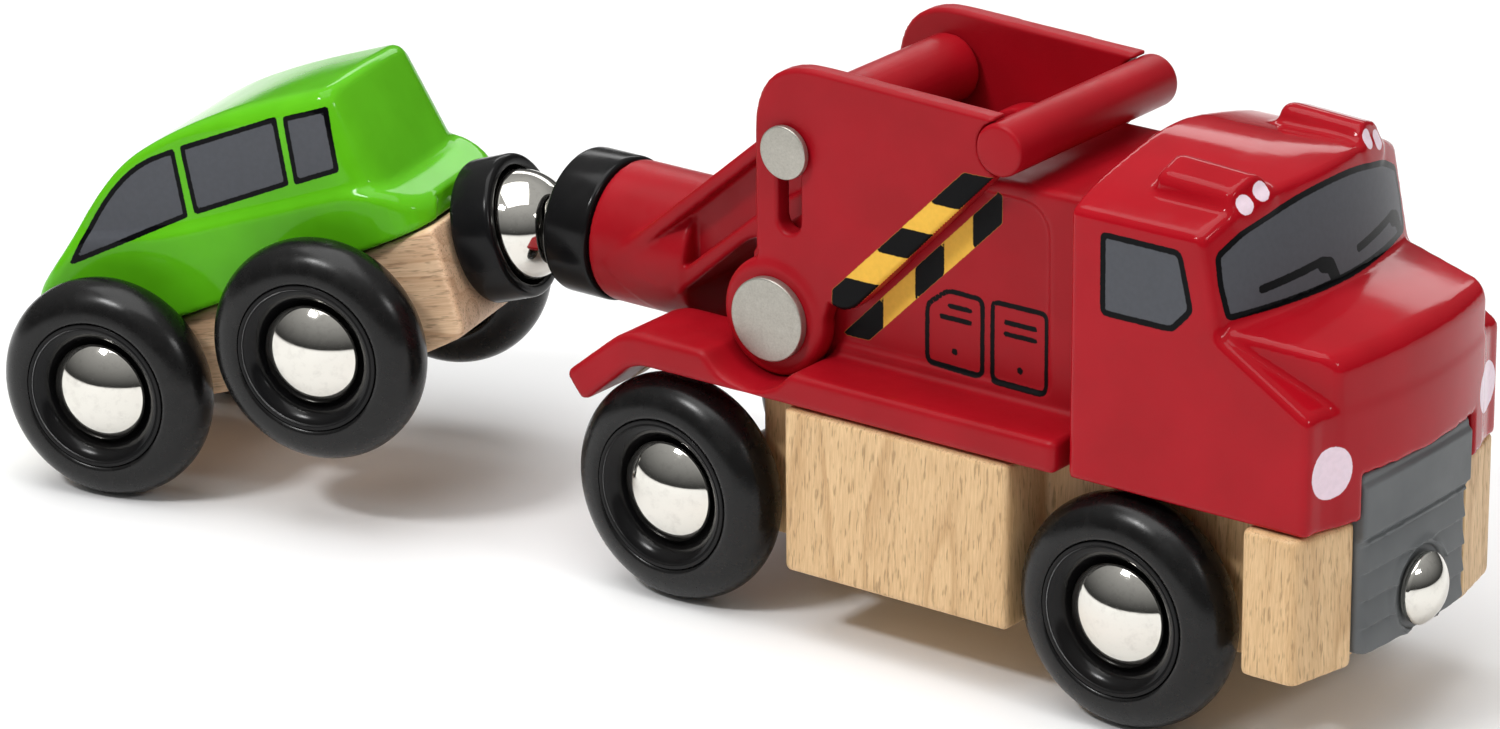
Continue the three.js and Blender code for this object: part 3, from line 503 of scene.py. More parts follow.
gloss_red = plastic("red_gloss", *RED_GLOSS, (0.07, 0.14), 0.05, glow=0.05)
printed(gloss_red, [("glass", INK, 0.0), ("glass", PANE, -0.68), ("wiper", INK, 0.0), ("lens", LENS, 0.0)])
satin_red = plastic("red_satin", *RED_SATIN, (0.3, 0.42), 0.05, glow=0.05, fine=0.3)
printed(satin_red, [("yellow", YELLOW, 0.0), ("ink", INK, 0.0)])
plain_satin = plastic("red_satin_plain", *RED_SATIN, (0.28, 0.4), 0.05, glow=0.05, fine=0.22)
gloss_green = plastic("green_gloss", *GREEN, (0.06, 0.12), 0.04, glow=0.08)
printed(gloss_green, [("glass", INK, 0.0), ("glass", PANE, -0.6)])
grey = plastic("grey_satin", *GREY, (0.42, 0.55), 0.05, fine=0.2)
black = plastic("black_gloss", *BLACK, (0.14, 0.26), 0.08)

# %% [markdown]
# ### Rubbery tyre, plated steel and rivet heads
# The tyre is smooth satin black with dust in soft patches.  Chrome has thin hairlines and small
# cloudy spots.  The rivets are dull zinc with a fine grain.

# %% Tyre and metals
tyre_black = Finish("tyre_black")
dust = tyre_black.span(tyre_black.noise(0.6 * SCALE, 6.0, 0.65), 0.52, 0.8, 0.0, 0.5)
worn = tyre_black.span(tyre_black.noise(0.4 * SCALE, 5.0, 0.6), 0.3, 0.7, 0.2, 0.33)
tyre_black.set(
    Base_Color=tyre_black.mix(dust, (0.005, 0.0048, 0.0048), (0.018, 0.017, 0.0165)),
    Roughness=tyre_black.maths("ADD", worn, tyre_black.scratches(0.1)),
    IOR=1.5,
    Specular_IOR_Level=0.3,
)
tyre_black.bump(tyre_black.noise(1.4 * SCALE, 4.0, 0.6), 0.12, 0.05)

chrome = Finish("chrome_plate")
cloud = chrome.span(chrome.noise(0.8 * SCALE, 6.0, 0.7), 0.5, 0.75, 0.0, 0.08)
chrome.set(
    Base_Color=chrome.mix(chrome.span(cloud, 0, 0.08, 0, 1), (0.74, 0.72, 0.665), (0.62, 0.60, 0.555)),
    Roughness=chrome.maths("ADD", chrome.maths("ADD", cloud, 0.05), chrome.scratches(0.1)),
    Metallic=1.0,
)
chrome.bump(chrome.noise(0.5 * SCALE, 2.0), 0.06, 0.1)

zinc = Finish("zinc_rivet")
grain = zinc.noise(4.5 * SCALE, 5.0, 0.75)
zinc.set(
    Base_Color=zinc.mix(zinc.span(grain, 0.3, 0.7, 0.0, 1.0), (0.36, 0.345, 0.305), (0.48, 0.46, 0.41)),
    Roughness=zinc.span(zinc.noise(1.2 * SCALE, 5.0), 0.3, 0.7, 0.36, 0.5),
    Metallic=0.85,
)
zinc.bump(grain, 0.25, 0.03)

# %% [markdown]
# ### Beech
# Beech is pale pinkish tan.  Growth rings give broad soft bands, and short dark flecks run along the
# grain.  The grain runs upright on the truck's block and lengthwise on the car's.

# %% Beech


def beech(name, long_axis, turn_by, light, dark, ring_pull):
    """Wood whose fibres run along one axis of the turned coordinates."""
    made = Finish(name)
    fleck_scale = [3.2 * SCALE] * 3
    fleck_scale[long_axis] = 0.42 * SCALE
    ring_scale = [0.10 * SCALE] * 3
    ring_scale[long_axis] = 0.012 * SCALE
    fibre_scale = [6.0 * SCALE] * 3
    fibre_scale[long_axis] = 0.2 * SCALE
    sway = made.noise(1.0, 2.0, 0.5, made.stretch(ring_scale, turn_by))
    rings = made.maths("FRACT", made.maths("MULTIPLY", sway, ring_pull))
    band = made.ramp(rings, (0.0, 0.05), (0.66, 0.35), (0.92, 1.0), (1.0, 0.05))
    fibre = made.noise(1.0, 3.0, 0.6, made.stretch(fibre_scale, turn_by))
    flecks = made.span(made.noise(1.0, 2.0, 0.5, made.stretch(fleck_scale, turn_by)), 0.56, 0.68, 0.0, 0.7)
    shade = made.maths("ADD", made.maths("MULTIPLY", band, 0.6), made.span(fibre, 0.3, 0.7, -0.1, 0.6))
    body = made.mix(shade, light, dark)
    body = made.mix(flecks, body, tuple(0.62 * c for c in dark))
    rough = made.span(made.maths("ADD", fibre, flecks), 0.2, 1.2, 0.38, 0.62)
    made.set(Base_Color=body, Roughness=rough, IOR=1.45)
    made.set(Subsurface_Weight=0.06, Subsurface_Radius=(1.0, 0.6, 0.3), Subsurface_Scale=0.0008)
    made.bump(fibre, 0.25, 0.05)
    made.bump(made.maths("SUBTRACT", 1.0, flecks), 0.3, 0.04)
    return made


TRUCK_BEECH = ((0.80, 0.555, 0.30), (0.55, 0.335, 0.155))
CAR_BEECH = ((0.88, 0.63, 0.41), (0.62, 0.375, 0.215))
upright_beech = beech("beech_upright", 2, (0.05, 0.03, 0.1), *TRUCK_BEECH, 5.0)
car_pitch = math.asin(CAR.axes[0][2])
car_yaw = math.atan2(CAR.axes[0][1], CAR.axes[0][0])
long_beech = beech("beech_long", 0, (0.0, -car_pitch + 0.1, car_yaw), *CAR_BEECH, 9.0)

# %% [markdown]
# ## Wheels
# The tyre's side swells out to a fine seam, then dips to the hub.  The black hub has a narrow lip and a
# dished well round the plain domed cap.

# %% Wheels
TYRE_RADIUS, SEAM_RADIUS, TYRE_HALF, TRACK_HALF = 13.0, 8.7, 3.8, 16.6
CAP_RADIUS, CAP_DOME, CAP_RIM = 5.8, 2.3, 18.95


def tyre_profile():
    """Half ellipse of (radius, height) round a straight bore, with a small groove at the seam."""
    a = np.linspace(0, np.pi, 41)
    radius = SEAM_RADIUS + (TYRE_RADIUS - SEAM_RADIUS) * np.sin(a) ** 0.86
    swell = np.stack([radius, -TYRE_HALF * np.cos(a)], axis=1)
    swell[-1] = [SEAM_RADIUS + 0.08, TYRE_HALF - 0.16]
    swell[0] = [SEAM_RADIUS + 0.06, 0.12 - TYRE_HALF]
    bore = [[SEAM_RADIUS, TYRE_HALF - 0.3], [SEAM_RADIUS, 0.3 - TYRE_HALF]]
    return np.concatenate([swell, bore])


def hub_profile():
    """Face that carries on the tyre's swell, a round lip, and the dished well."""
    rim = SEAM_RADIUS - 0.06
    face = [[rim, 3.55], [rim - 0.09, 3.72], [7.6, 3.55], [6.7, 2.7], [6.15, 1.2], [5.0, 0.9], [1.85, 0.7]]
    return rounded(face + [[1.85, -3.6], [7.6, -3.6], [rim, -3.5]], 0.55, 6)


def cap_curve(radius, rise, top, steps):
    """Profile of a spherical cap from its edge to its top; its sphere has radius (r^2 + h^2) / 2h."""
    sphere = (radius ** 2 + rise ** 2) / (2 * rise)
    a = np.linspace(math.asin(radius / sphere), 0, steps)
    curve = np.stack([sphere * np.sin(a), top - sphere * (1 - np.cos(a))], axis=1)
    curve[-1, 0] = 0.0
    return curve


def cap_profile():
    """Spherical dome with a rolled rim, hollow behind for the axle end."""
    dome = cap_curve(CAP_RADIUS, CAP_DOME, CAP_DOME, 24)
    rim = [[0.0, 0.9], [1.8, 0.9], [1.8, -0.5], [5.5, -0.5], [5.75, -0.42], [5.84, -0.2]]
    return np.concatenate([rim, dome])


def wheel_set(prefix, place, x, z, cap_body):
    """Two wheels on one axle; the caps stay with the axle's body while tyre and hub turn."""
    for side, sign in (("right", -1.0), ("left", 1.0)):
        name = f"{prefix}_{side}"
        out = (0.0, sign, 0.0)
        centre = (x, sign * TRACK_HALF, z)
        tyre = turn(f"{name}_tyre_look", tyre_profile(), centre, out, place, 128, closed=True)
        settle(tyre, f"{name}_wheel", f"{name}_tyre", tyre_black.material)
        hub = turn(f"{name}_hub_look", hub_profile(), centre, out, place, 96, closed=True)
        settle(hub, f"{name}_wheel", f"{name}_hub", black.material)
        cap = turn(f"{name}_cap_look", cap_profile(), (x, sign * CAP_RIM, z), out, place, 96)
        settle(cap, cap_body, f"{name}_cap", chrome.material)


wheel_set("rear", TRUCK, 0.0, TYRE_RADIUS, "truck")
wheel_set("front", TRUCK, WHEELBASE, TYRE_RADIUS, "truck")
wheel_set("car_front", CAR, 0.0, 0.0, "towed_car")
wheel_set("car_rear", CAR, CAR_WHEELBASE, 0.0, "towed_car")

# %% [markdown]
# ## Wooden block
# One beech block: a narrow spine between the wheels, a full-width middle and a full-width nose whose
# front is slightly pointed.  All its arrises are lightly eased.

# %% Truck block
DECK_Z, ROAD_CLEARANCE, HALF_WIDTH, SPINE_HALF = 26.8, 7.9, 19.6, 12.0
GRILLE_HALF = 10.6
PLASTIC_Z = DECK_Z + 0.3
BOOM_PIVOT = (34.0, 38.0)
SCREWS_X = (28.0, 64.5)
SCREW_RADIUS, SCREW_HEAD, SCREW_HEAD_TOP, SCREW_TOP = 1.7, 3.3, 11.0, 31.4
TAIL_SLOPE, TAIL_FOOT = math.radians(39), -4.4


def boom_sweep(room):
    """Room that the lowered boom needs at the tail."""
    path = [[-30, 15.0], [-1.6, 16.3], [-1.6, 22.8], [4, 31.8], [4, 50], [-30, 50]]
    return meet(room.along_y(np.array(path, float)), room.slab(1, -8.7, 8.7), 0.3)


def tail_room(room):
    """Everything above the underside of the slanted tail slab."""
    c, s = math.cos(TAIL_SLOPE), math.sin(TAIL_SLOPE)
    return (room.x - TAIL_FOOT - 0.3 * s) * s - (room.z - PLASTIC_Z + 0.3 * c) * c


def block_field(room):
    """Spine, middle and nose, less the room for grille, boom, axles and screws."""
    spine = meet(room.along_y(rounded([[-11, 7.9], [78, 9], [78, 26.8], [-11, 26.8]], 1.2)),
                 room.slab(1, -SPINE_HALF, SPINE_HALF), 0.5)
    centre = rounded(mirrored([[16.3, -HALF_WIDTH], [45.8, -HALF_WIDTH]], 1), 0.9)
    centre = meet(room.along_z(centre), room.slab(2, ROAD_CLEARANCE, DECK_Z), 0.5)
    nose = rounded(mirrored([[75, -HALF_WIDTH], [81.7, -HALF_WIDTH], [83.6, -GRILLE_HALF]], 1), 1.0)
    nose = meet(room.along_z(nose), room.slab(2, 10.5, DECK_Z), 0.6)
    body = join(join(spine, centre, 0.3), nose, 0.3)
    seat = meet(room.x * -1 + 81.8, room.slab(1, -10.9, 10.9))
    body = carve(body, seat, 0.2)
    body = carve(body, boom_sweep(room), 0.4)
    # Known fault: this cut keeps the wrong side of the slab's underside.  The
    # spine ends at x = 8 and two small splinters stay above.  The tail should be kept below the slab and
    # cut above it, which is carve(body, np.maximum(tail_room(room), room.x - 8)).
    body = np.maximum(body, -np.maximum(-tail_room(room), room.x - 8))
    for x in (0.0, WHEELBASE):
        body = carve(body, room.rod(1, (x, TYRE_RADIUS), 1.8), 0.2)
    for x in SCREWS_X:
        head = meet(room.rod(2, (x, 0.0), SCREW_HEAD), room.z - SCREW_HEAD_TOP)
        body = carve(body, np.minimum(head, room.rod(2, (x, 0.0), SCREW_RADIUS)), 0.15)
    return body


room = Room((-13, -21, 6), (85.5, 21, 28.5), 0.45)
block = moulding("wooden_block", room, block_field(room), TRUCK)
settle(block, "truck", "chassis_block", upright_beech.material)

# %% [markdown]
# ## Grille and front coupling
# The grille is a crowned grey panel: a plain raised band at the top, then arched ribs, and a round
# seat that the polished coupling dome sits in.

# %% Grille
GRILLE_LOW, GRILLE_HIGH, GRILLE_BACK = 11.6, 31.9, 82.1
DOME_Z, DOME_RADIUS, RING_RADIUS, SEAT_RADIUS = 16.2, 3.95, 5.1, 4.55
RIB_PITCH, RIB_RISE = 3.1, 0.75


def grille_field(room):
    """Crowned panel: its front is moved out by the ribs, the top band and the ring round the dome."""
    front = 84.3 + 0.8 * (1 - (room.y / GRILLE_HALF) ** 2)
    arch = 0.5 * (room.y / GRILLE_HALF) ** 2
    height = room.z + arch
    band = meet(GRILLE_HIGH - 6.6 - height, height - GRILLE_HIGH + 1.0, 0.4)
    raised = np.clip(0.4 - band, 0, 0.45)
    share = np.mod((height - GRILLE_LOW) / RIB_PITCH, 1.0)
    inward = np.clip((GRILLE_HALF - 0.3 - np.abs(room.y)) / 0.7, 0, 1)
    rib = RIB_RISE * np.minimum(share / 0.14, (1 - share) * 0.9 + 0.1) * inward
    lower = height < GRILLE_HIGH - 7.2
    ring = np.hypot(room.y, room.z - DOME_Z) - RING_RADIUS
    relief = np.where(lower & (ring > 0), rib - 0.35, 0) + raised
    relief = relief + 0.35 * np.exp(-(ring / 0.45) ** 2)
    body = np.maximum(GRILLE_BACK - room.x, (room.x - front - relief + 0.3) * 0.8)
    outline = rounded([[-GRILLE_HALF, GRILLE_LOW], [GRILLE_HALF, GRILLE_LOW], [GRILLE_HALF, GRILLE_HIGH],
                       [-GRILLE_HALF, GRILLE_HIGH]], 0.9)
    body = meet(body, room.along_x(outline), 0.35)
    seat = meet(room.rod(0, (0.0, DOME_Z), SEAT_RADIUS), 84.5 - room.x)
    return carve(carve(body, seat, 0.15), room.rod(0, (0.0, DOME_Z), 1.8))


room = Room((81, -12, 10.5), (87, 12, 33), 0.16)
grille = moulding("grille_panel", room, grille_field(room), TRUCK)
settle(grille, "truck", "front_grille", grey.material)

dome = cap_curve(DOME_RADIUS, 1.9, 2.8, 20)
stud = [[0.0, -2.2], [1.5, -2.2], [1.5, 0.0], [DOME_RADIUS - 0.15, 0.0], [DOME_RADIUS, 0.15]]
coupling = turn("front_dome_look", np.concatenate([stud, dome]), (84.8, 0.0, DOME_Z), FORWARD, TRUCK, 96)
settle(coupling, "truck", "front_coupling_dome", chrome.material)

# %% [markdown]
# ## Cab
# The cab is one hollow moulding.  Its side view, its cross-section and the bowed hood are met and
# joined with fillets.  Two lamp pods ride on the roof.

# %% Cab shape
CAB_REAR, CAB_FRONT, CAB_HALF = 52.9, 82.6, 19.0
SCREEN_X = 71.3  # foot of the windscreen at the side pillars
BOW = 0.0101  # bowed front and windscreen fall back by BOW y^2
CAB_WALL, CAR_WALL = 2.2, 1.9


def screen_bow(y):
    """How far the curved windscreen stands in front of its own side pillars, BOW (18^2 - y^2)."""
    return BOW * (18.0 ** 2 - y ** 2)


def cab_solid(room, inset):
    """Cab and hood less an even wall thickness; zero gives the outside."""
    section = mirrored([[CAB_HALF, 10], [CAB_HALF - 0.25, 56.8], [15.2, 58.5], [9.6, 59.9], [0, 61.7]])
    section = rounded(section, [0, 0.8, 2, 5, 9, 5, 2, 0.8, 0], 8)
    side = [[CAB_REAR, 10], [CAB_FRONT + 4, 10], [CAB_FRONT + 4, 39.2], [CAB_FRONT + 0.1, 39.7],
            [SCREEN_X, 46.5], [68.6, 59.9], [64.4, 61.1], [59, 61.7], [CAB_REAR, 61.6]]
    side = rounded(side, [0, 0, 0, 1.2, 0.8, 0.7, 4, 4, 0.8], 8)
    bow = room.x - front_line(room.y)
    forward = screen_bow(room.y) * np.clip((room.x - 56) / 9, 0, 1)
    screen = flat(side, room.x - forward, room.z)
    cab = meet(room.along_x(section), screen, 0.8)
    cab = meet(cab, bow, 0.8)
    return join(cab, hood_solid(room), 0.5) + inset


def front_line(y):
    """Bowed front of the cab in plan, x = 85.4 - BOW y^2, eased at the corners."""
    return 85.4 - BOW * y ** 2 + 0.25 * np.clip(np.abs(y) - 16.5, 0, None)


def hood_solid(room):
    """Hood whose top falls forward and to its sides, narrower at the front than at the screen."""
    top = room.z - (48.2 - 0.17 * np.clip(room.x - 72, 0, None) - 0.0042 * room.y ** 2)
    half = 17.5 - 0.27 * np.clip(room.x - 72.4, 0, None)
    flank = (np.abs(room.y) - half) * 0.965
    hood = meet(room.x - front_line(room.y), top, 1.9)
    return meet(meet(hood, flank, 0.75), 60 - room.x)


def pods(room):
    """Two lamp pods, each a round-ended bar tilted with the roof and cut flush with the screen."""
    both = None
    for sign in (-1.0, 1.0):
        tilt = -0.32 * sign
        y, z = room.y - sign * 11.5, room.z - 59.35 + 0.05 * (room.x - 68)
        across = y * math.cos(tilt) + z * math.sin(tilt)
        up = -y * math.sin(tilt) + z * math.cos(tilt)
        bar = meet(np.abs(across) - 2.8, np.abs(up) - 2.0, 1.7)
        bar = meet(bar, 60.0 - room.x, 1.4)
        bar = meet(bar, room.x + 0.2 * (room.z - 46.5) - 71.0 - screen_bow(room.y), 0.4)
        both = bar if both is None else np.minimum(both, bar)
    return both


def cab_field(room):
    """Hollow cab with its screw boss and the seat for the grille."""
    body = join(cab_solid(room, 0.0), pods(room), 1.0)
    body = meet(body, PLASTIC_Z - room.z, 0.35)
    body = carve(body, cab_solid(room, CAB_WALL), 0.2)
    boss = meet(room.rod(2, (SCREWS_X[1], 0.0), 3.6), room.slab(2, PLASTIC_Z, 58.0))
    body = np.minimum(body, boss)
    seat = np.maximum(np.maximum(81.8 - room.x, np.abs(room.y) - 10.9), room.z - 32.2)
    body = carve(body, seat, 0.25)
    return carve(body, meet(room.rod(2, (SCREWS_X[1], 0.0), SCREW_RADIUS), room.z - SCREW_TOP))


# %% [markdown]
# ### Cab prints
# Prints are outlines measured in side or front view.  Each vertex keeps its distance to the outline,
# and the finish lays ink wherever that distance is below its edge.

# %% Cab prints


FAR = 9.0  # distance that stands for "no print here"


SIDE_WINDOW = rounded([[56.7, 55.2], [66.7, 55.1], [68.3, 48.7], [65.8, 46.0], [56.8, 46.0]],
                      [0.9, 0.9, 0.8, 0.8, 0.9], 5)


def windscreen(points):
    """Wide screen in (y, z), wrapped on to the front of the cab only."""
    outline = mirrored([[17.2, 47.9], [17.6, 51.5], [17.4, 54.9], [13.4, 56.9], [5.8, 58.45], [0, 58.75]])
    outline = rounded(outline, [0.8, 1, 0.8, 2, 3, 3, 3, 2, 0.8, 1, 0.8], 6)
    seen = flat(outline, points[:, 1], points[:, 2])
    depth = points[:, 0] - screen_bow(points[:, 1])
    front = (depth > 67.2) & (depth < SCREEN_X + 0.35) & (points[:, 2] > 47.2)
    return np.where(front, seen, FAR)


def glass(points):
    """Side windows on both flanks, and the windscreen."""
    seen = flat(SIDE_WINDOW, points[:, 0], points[:, 2])
    return np.minimum(np.where(np.abs(points[:, 1]) > 17.0, seen, FAR), windscreen(points))


def stroke(path, y, z, half):
    """Distance to a bent line of the given half width."""
    best = np.full(len(y), FAR)
    for (y0, z0), (y1, z1) in zip(path, path[1:]):
        dy, dz = y1 - y0, z1 - z0
        t = np.clip(((y - y0) * dy + (z - z0) * dz) / (dy * dy + dz * dz), 0, 1)
        best = np.minimum(best, np.hypot(y - y0 - t * dy, z - z0 - t * dz) - half)
    return best


def wipers(points):
    """Two wipers: a long low blade whose end bends down into a wider arm."""
    y, z = points[:, 1], points[:, 2]
    best = np.full(len(y), FAR)
    for base in (-12.2, 4.3):
        blade = stroke([(base, 50.2), (base + 9.2, 50.8)], y, z, 0.45)
        arm = stroke([(base + 9.4, 50.4), (base + 10.7, 50.0), (base + 11.3, 48.4)], y, z, 0.85)
        best = np.minimum(best, np.minimum(blade, arm))
    front = (points[:, 0] > 68) & (windscreen(points) < 0)
    return np.where(front, best, FAR)


def lamps(points):
    """Two small lenses on each pod and one headlight on each corner."""
    x, y, z = points.T
    best = np.full(len(y), FAR)
    for sign in (-1.0, 1.0):
        for offset, height in ((12.75, 59.1), (10.25, 59.95)):
            spot = np.hypot(y - sign * offset, z - height) - 1.02
            best = np.minimum(best, np.where(x > 68.0, spot, FAR))
        light = np.hypot((y - sign * 15.3) * 1.05, z - 33.4) - 2.85
        best = np.minimum(best, np.where(x > 80, light, FAR))
    return best


room = Room((51.5, -20.2, 26), (87, 20.2, 63.5), 0.36)
cab = moulding("cab_moulding", room, cab_field(room), TRUCK, {"glass": glass, "wiper": wipers, "lens": lamps})
settle(cab, "truck", "cab_shell", gloss_red.material)

# %% [markdown]
# ## Rear body
# Bed, slanted tail slab and winch box are one satin moulding.  The flanks of the box are recessed
# inside a raised front rim, and a round dish on each side clears the lift frame's lobe.

# %% Rear body
BED_TOP = 30.8
BOX_HALF = 11.5
PIVOT = (11.3, 34.6)


def rear_field(room):
    """Bed and box met by their side views, hollowed, with pockets for the parts that move in it."""
    c, s = math.cos(TAIL_SLOPE), math.sin(TAIL_SLOPE)
    tip = (-5.6 - 10.6 * c, BED_TOP - 10.6 * s)
    under_tip = (tip[0] + 3.9 * s, tip[1] - 3.9 * c)
    bed = [[51.7, PLASTIC_Z], [51.7, BED_TOP], [-5.6, BED_TOP], tip, under_tip, (TAIL_FOOT, PLASTIC_Z)]
    bed = rounded(bed, [0.8, 0.8, 2.5, 0.9, 0.9, 2.0], 6)
    body = meet(room.along_y(bed), room.slab(1, -HALF_WIDTH, HALF_WIDTH), 0.7)
    wall = rounded([[6.2, 24], [52.5, 24], [52.5, 55.3], [26, 55.3], [6.2, 41]], [0, 0, 1.2, 2, 2], 6)
    panel = rounded([[-20, 32.4], [45.6, 32.4], [45.6, 53.6], [-20, 53.6]], [0, 1.0, 4.2, 0], 8)
    box = meet(room.along_y(wall), room.slab(1, -BOX_HALF - 0.45, BOX_HALF + 0.45), 0.7)
    recess = meet(room.along_y(panel), BOX_HALF - np.abs(room.y), 0.0)
    box = carve(box, recess, 0.3)
    box = np.maximum(box, PLASTIC_Z - room.z)
    inside = rounded([[-14, BED_TOP], [49.5, BED_TOP], [49.5, 52.3], [28, 52.3], [25, 66], [-14, 66]], 0.8)
    hollow = meet(room.along_y(inside), room.slab(1, -8.5, 8.5), 0.6)
    body = carve(join(body, box, 0.9), hollow, 0.5)
    body = carve(body, boom_sweep(room), 0.5)
    dish = meet(room.rod(1, PIVOT, 6.95), BOX_HALF + 0.05 - np.abs(room.y))
    body = carve(body, dish, 0.5)
    boss = meet(room.rod(2, (SCREWS_X[0], 0.0), 3.6), room.slab(2, PLASTIC_Z, BED_TOP + 0.1))
    body = join(body, boss, 0.2)
    for x, z, radius, half in ((*BOOM_PIVOT, 1.8, 10.5), (*PIVOT, 2.55, 14.0)):
        body = carve(body, meet(room.rod(1, (x, z), radius), room.slab(1, -half, half)))
    return carve(body, meet(room.rod(2, (SCREWS_X[0], 0.0), SCREW_RADIUS), room.z - SCREW_TOP))


def on_box(points):
    """Whether a point lies on a flank of the winch box."""
    return np.abs(np.abs(points[:, 1]) - 11.7) < 0.7


def body_stripe(points):
    """Distance to the sloping band on the box flank."""
    x, z = points[:, 0], points[:, 2]
    band = flat(np.array([[39.4, 54.2], [39.4, 50.3], [22.0, 33.3], [18.4, 33.3]], float), x, z)
    return np.where(on_box(points), band, FAR)


def stripe_blocks(edges):
    """Distance to every second block between falling edges, the first one dark."""
    def measure(value):
        best = np.full(len(value), FAR)
        for i in range(0, len(edges) - 1, 2):
            best = np.minimum(best, np.maximum(edges[i + 1] - value, value - edges[i]))
        return best
    return measure


body_blocks = stripe_blocks([40.5, 35.6, 31.9, 28.1, 23.9, 18.0])


def door(corners):
    """Outline of a locker door with small round corners."""
    return rounded(corners, 0.8, 5)


DOORS = (
    (door([[29.7, 32.7], [36.9, 32.5], [36.9, 41.2], [32.4, 41.3], [29.7, 39.2]]),
     ([(32.6, 39.6), (35.3, 39.6)], [(31.5, 38.2), (35.3, 38.2)]), (33.3, 34.5)),
    (door([[38.2, 32.4], [45.2, 32.3], [45.2, 41.3], [38.2, 41.3]]),
     ([(39.9, 39.3), (43.7, 39.3)], [(39.9, 38.0), (43.7, 38.0)]), (41.8, 34.2)),
)


def body_ink(points):
    """Black stripe blocks, door outlines, vent lines and latch dots on the box flanks."""
    x, z = points[:, 0], points[:, 2]
    best = np.maximum(body_stripe(points), body_blocks(x))
    flank = on_box(points)
    for outline, vents, dot in DOORS:
        lines = np.abs(flat(outline, x, z)) - 0.3
        for vent in vents:
            lines = np.minimum(lines, stroke(vent, x, z, 0.3))
        lines = np.minimum(lines, np.hypot(x - dot[0], z - dot[1]) - 0.42)
        best = np.minimum(best, np.where(flank, lines, FAR))
    return best


room = Room((-16.5, -20.6, 20), (53.6, 20.6, 56.4), 0.4)
rear_body = moulding("rear_moulding", room, rear_field(room), TRUCK, {"yellow": body_stripe, "ink": body_ink})
settle(rear_body, "truck", "rear_body", satin_red.material)

# %% [markdown]
# ## Lift frame
# Two slotted plates carry the handle bar between their front ends and turn on wide rivets.

# %% Lift frame
PLATE_IN, PLATE_OUT = 11.9, 14.4
HANDLE = (41.1, 59.6)
LIFT_PIN = (13.4, 54.0)


def plate_outline():
    """Lobe round the pivot, straight back, rounded top and a front end that stops at the bar."""
    back = math.asin((8.8 - PIVOT[0]) / 6.6)
    lobe = np.linspace(math.pi / 2 - back, 2 * math.pi + 0.1, 40)
    arc = np.stack([PIVOT[0] + 6.6 * np.cos(lobe), PIVOT[1] + 6.6 * np.sin(lobe)], axis=1)
    rest = rounded([[21.0, 36.6], [HANDLE[0] - 0.9, HANDLE[1] - 3.3], [HANDLE[0] - 0.9, HANDLE[1] + 3.3],
                    [8.8, 63.9], [8.8, 42.0]], [2.5, 0.2, 0.3, 8.5, 0.3], 10)
    return np.concatenate([arc, rest])


def plate_field(room, sign):
    """One plate with its thicker lobe, the slot for the lift pin and the bores for bar and rivet."""
    outline = plate_outline()
    low, high = sorted((sign * PLATE_IN, sign * PLATE_OUT))
    body = meet(room.along_y(outline), room.slab(1, low, high), 0.5)
    raised = sorted((sign * PLATE_IN, sign * (PLATE_OUT + 0.25)))
    lobe = meet(room.rod(1, PIVOT, 6.7), room.slab(1, *raised), 1.2)
    body = join(body, lobe, 0.5)
    slot = np.hypot(room.x - LIFT_PIN[0], room.z - np.clip(room.z, LIFT_PIN[1] - 7.9, LIFT_PIN[1])) - 1.55
    body = carve(body, slot, 0.35)
    body = carve(body, room.rod(1, HANDLE, 3.05), 0.1)
    return carve(body, room.rod(1, PIVOT, 2.55), 0.2)


plate_blocks = stripe_blocks([57.0, 51.9, 48.4, 45.0, 41.2, 35.0])


def plate_stripe(points):
    """Band along the slanted front edge of the plate's outer face."""
    x, z = points[:, 0], points[:, 2]
    band = flat(np.array([[41.5, 56.3], [36.4, 56.2], [19.2, 39.4], [19.1, 34.8], [24, 36]], float), x, z)
    return np.where(np.abs(points[:, 1]) > 14.0, band, FAR)


def plate_ink(points):
    """Black blocks of the plate's stripe."""
    return np.maximum(plate_stripe(points), plate_blocks(points[:, 2]))


for name, sign in (("right", -1.0), ("left", 1.0)):
    edge = sorted((sign * 11.2, sign * 15.1))
    room = Room((3.6, edge[0], 27), (45.4, edge[1], 65), 0.3)
    plate = moulding(f"{name}_plate_look", room, plate_field(room, sign), TRUCK,
                     {"yellow": plate_stripe, "ink": plate_ink})
    settle(plate, "lift_frame", f"{name}_lift_plate", satin_red.material)
    pin_profile = soften([[0, -5.9], [2.2, -5.9], [2.2, 0.0], [4.75, 0.0], [4.75, 1.1], [0, 1.1]], 0.22)
    place = (PIVOT[0], sign * 14.7, PIVOT[1])
    pin = turn(f"{name}_lower_pin_look", pin_profile, place, (0.0, sign, 0.0), TRUCK)
    settle(pin, "truck", f"{name}_lower_pin", zinc.material)

bar = soften([[0, -14.9], [2.93, -14.9], [2.93, 14.9], [0, 14.9]], 0.6)
handle = turn("handle_look", bar, (HANDLE[0], 0, HANDLE[1]), SIDEWAYS, TRUCK)
settle(handle, "lift_frame", "handle_bar", plain_satin.material)

# %% [markdown]
# ## Boom
# A level barrel with a black collar and magnet, and a ribbed arm that rises to the cross hub
# between the plates.

# %% Boom
BARREL_Z, BARREL_RADIUS = 34.1, 8.1


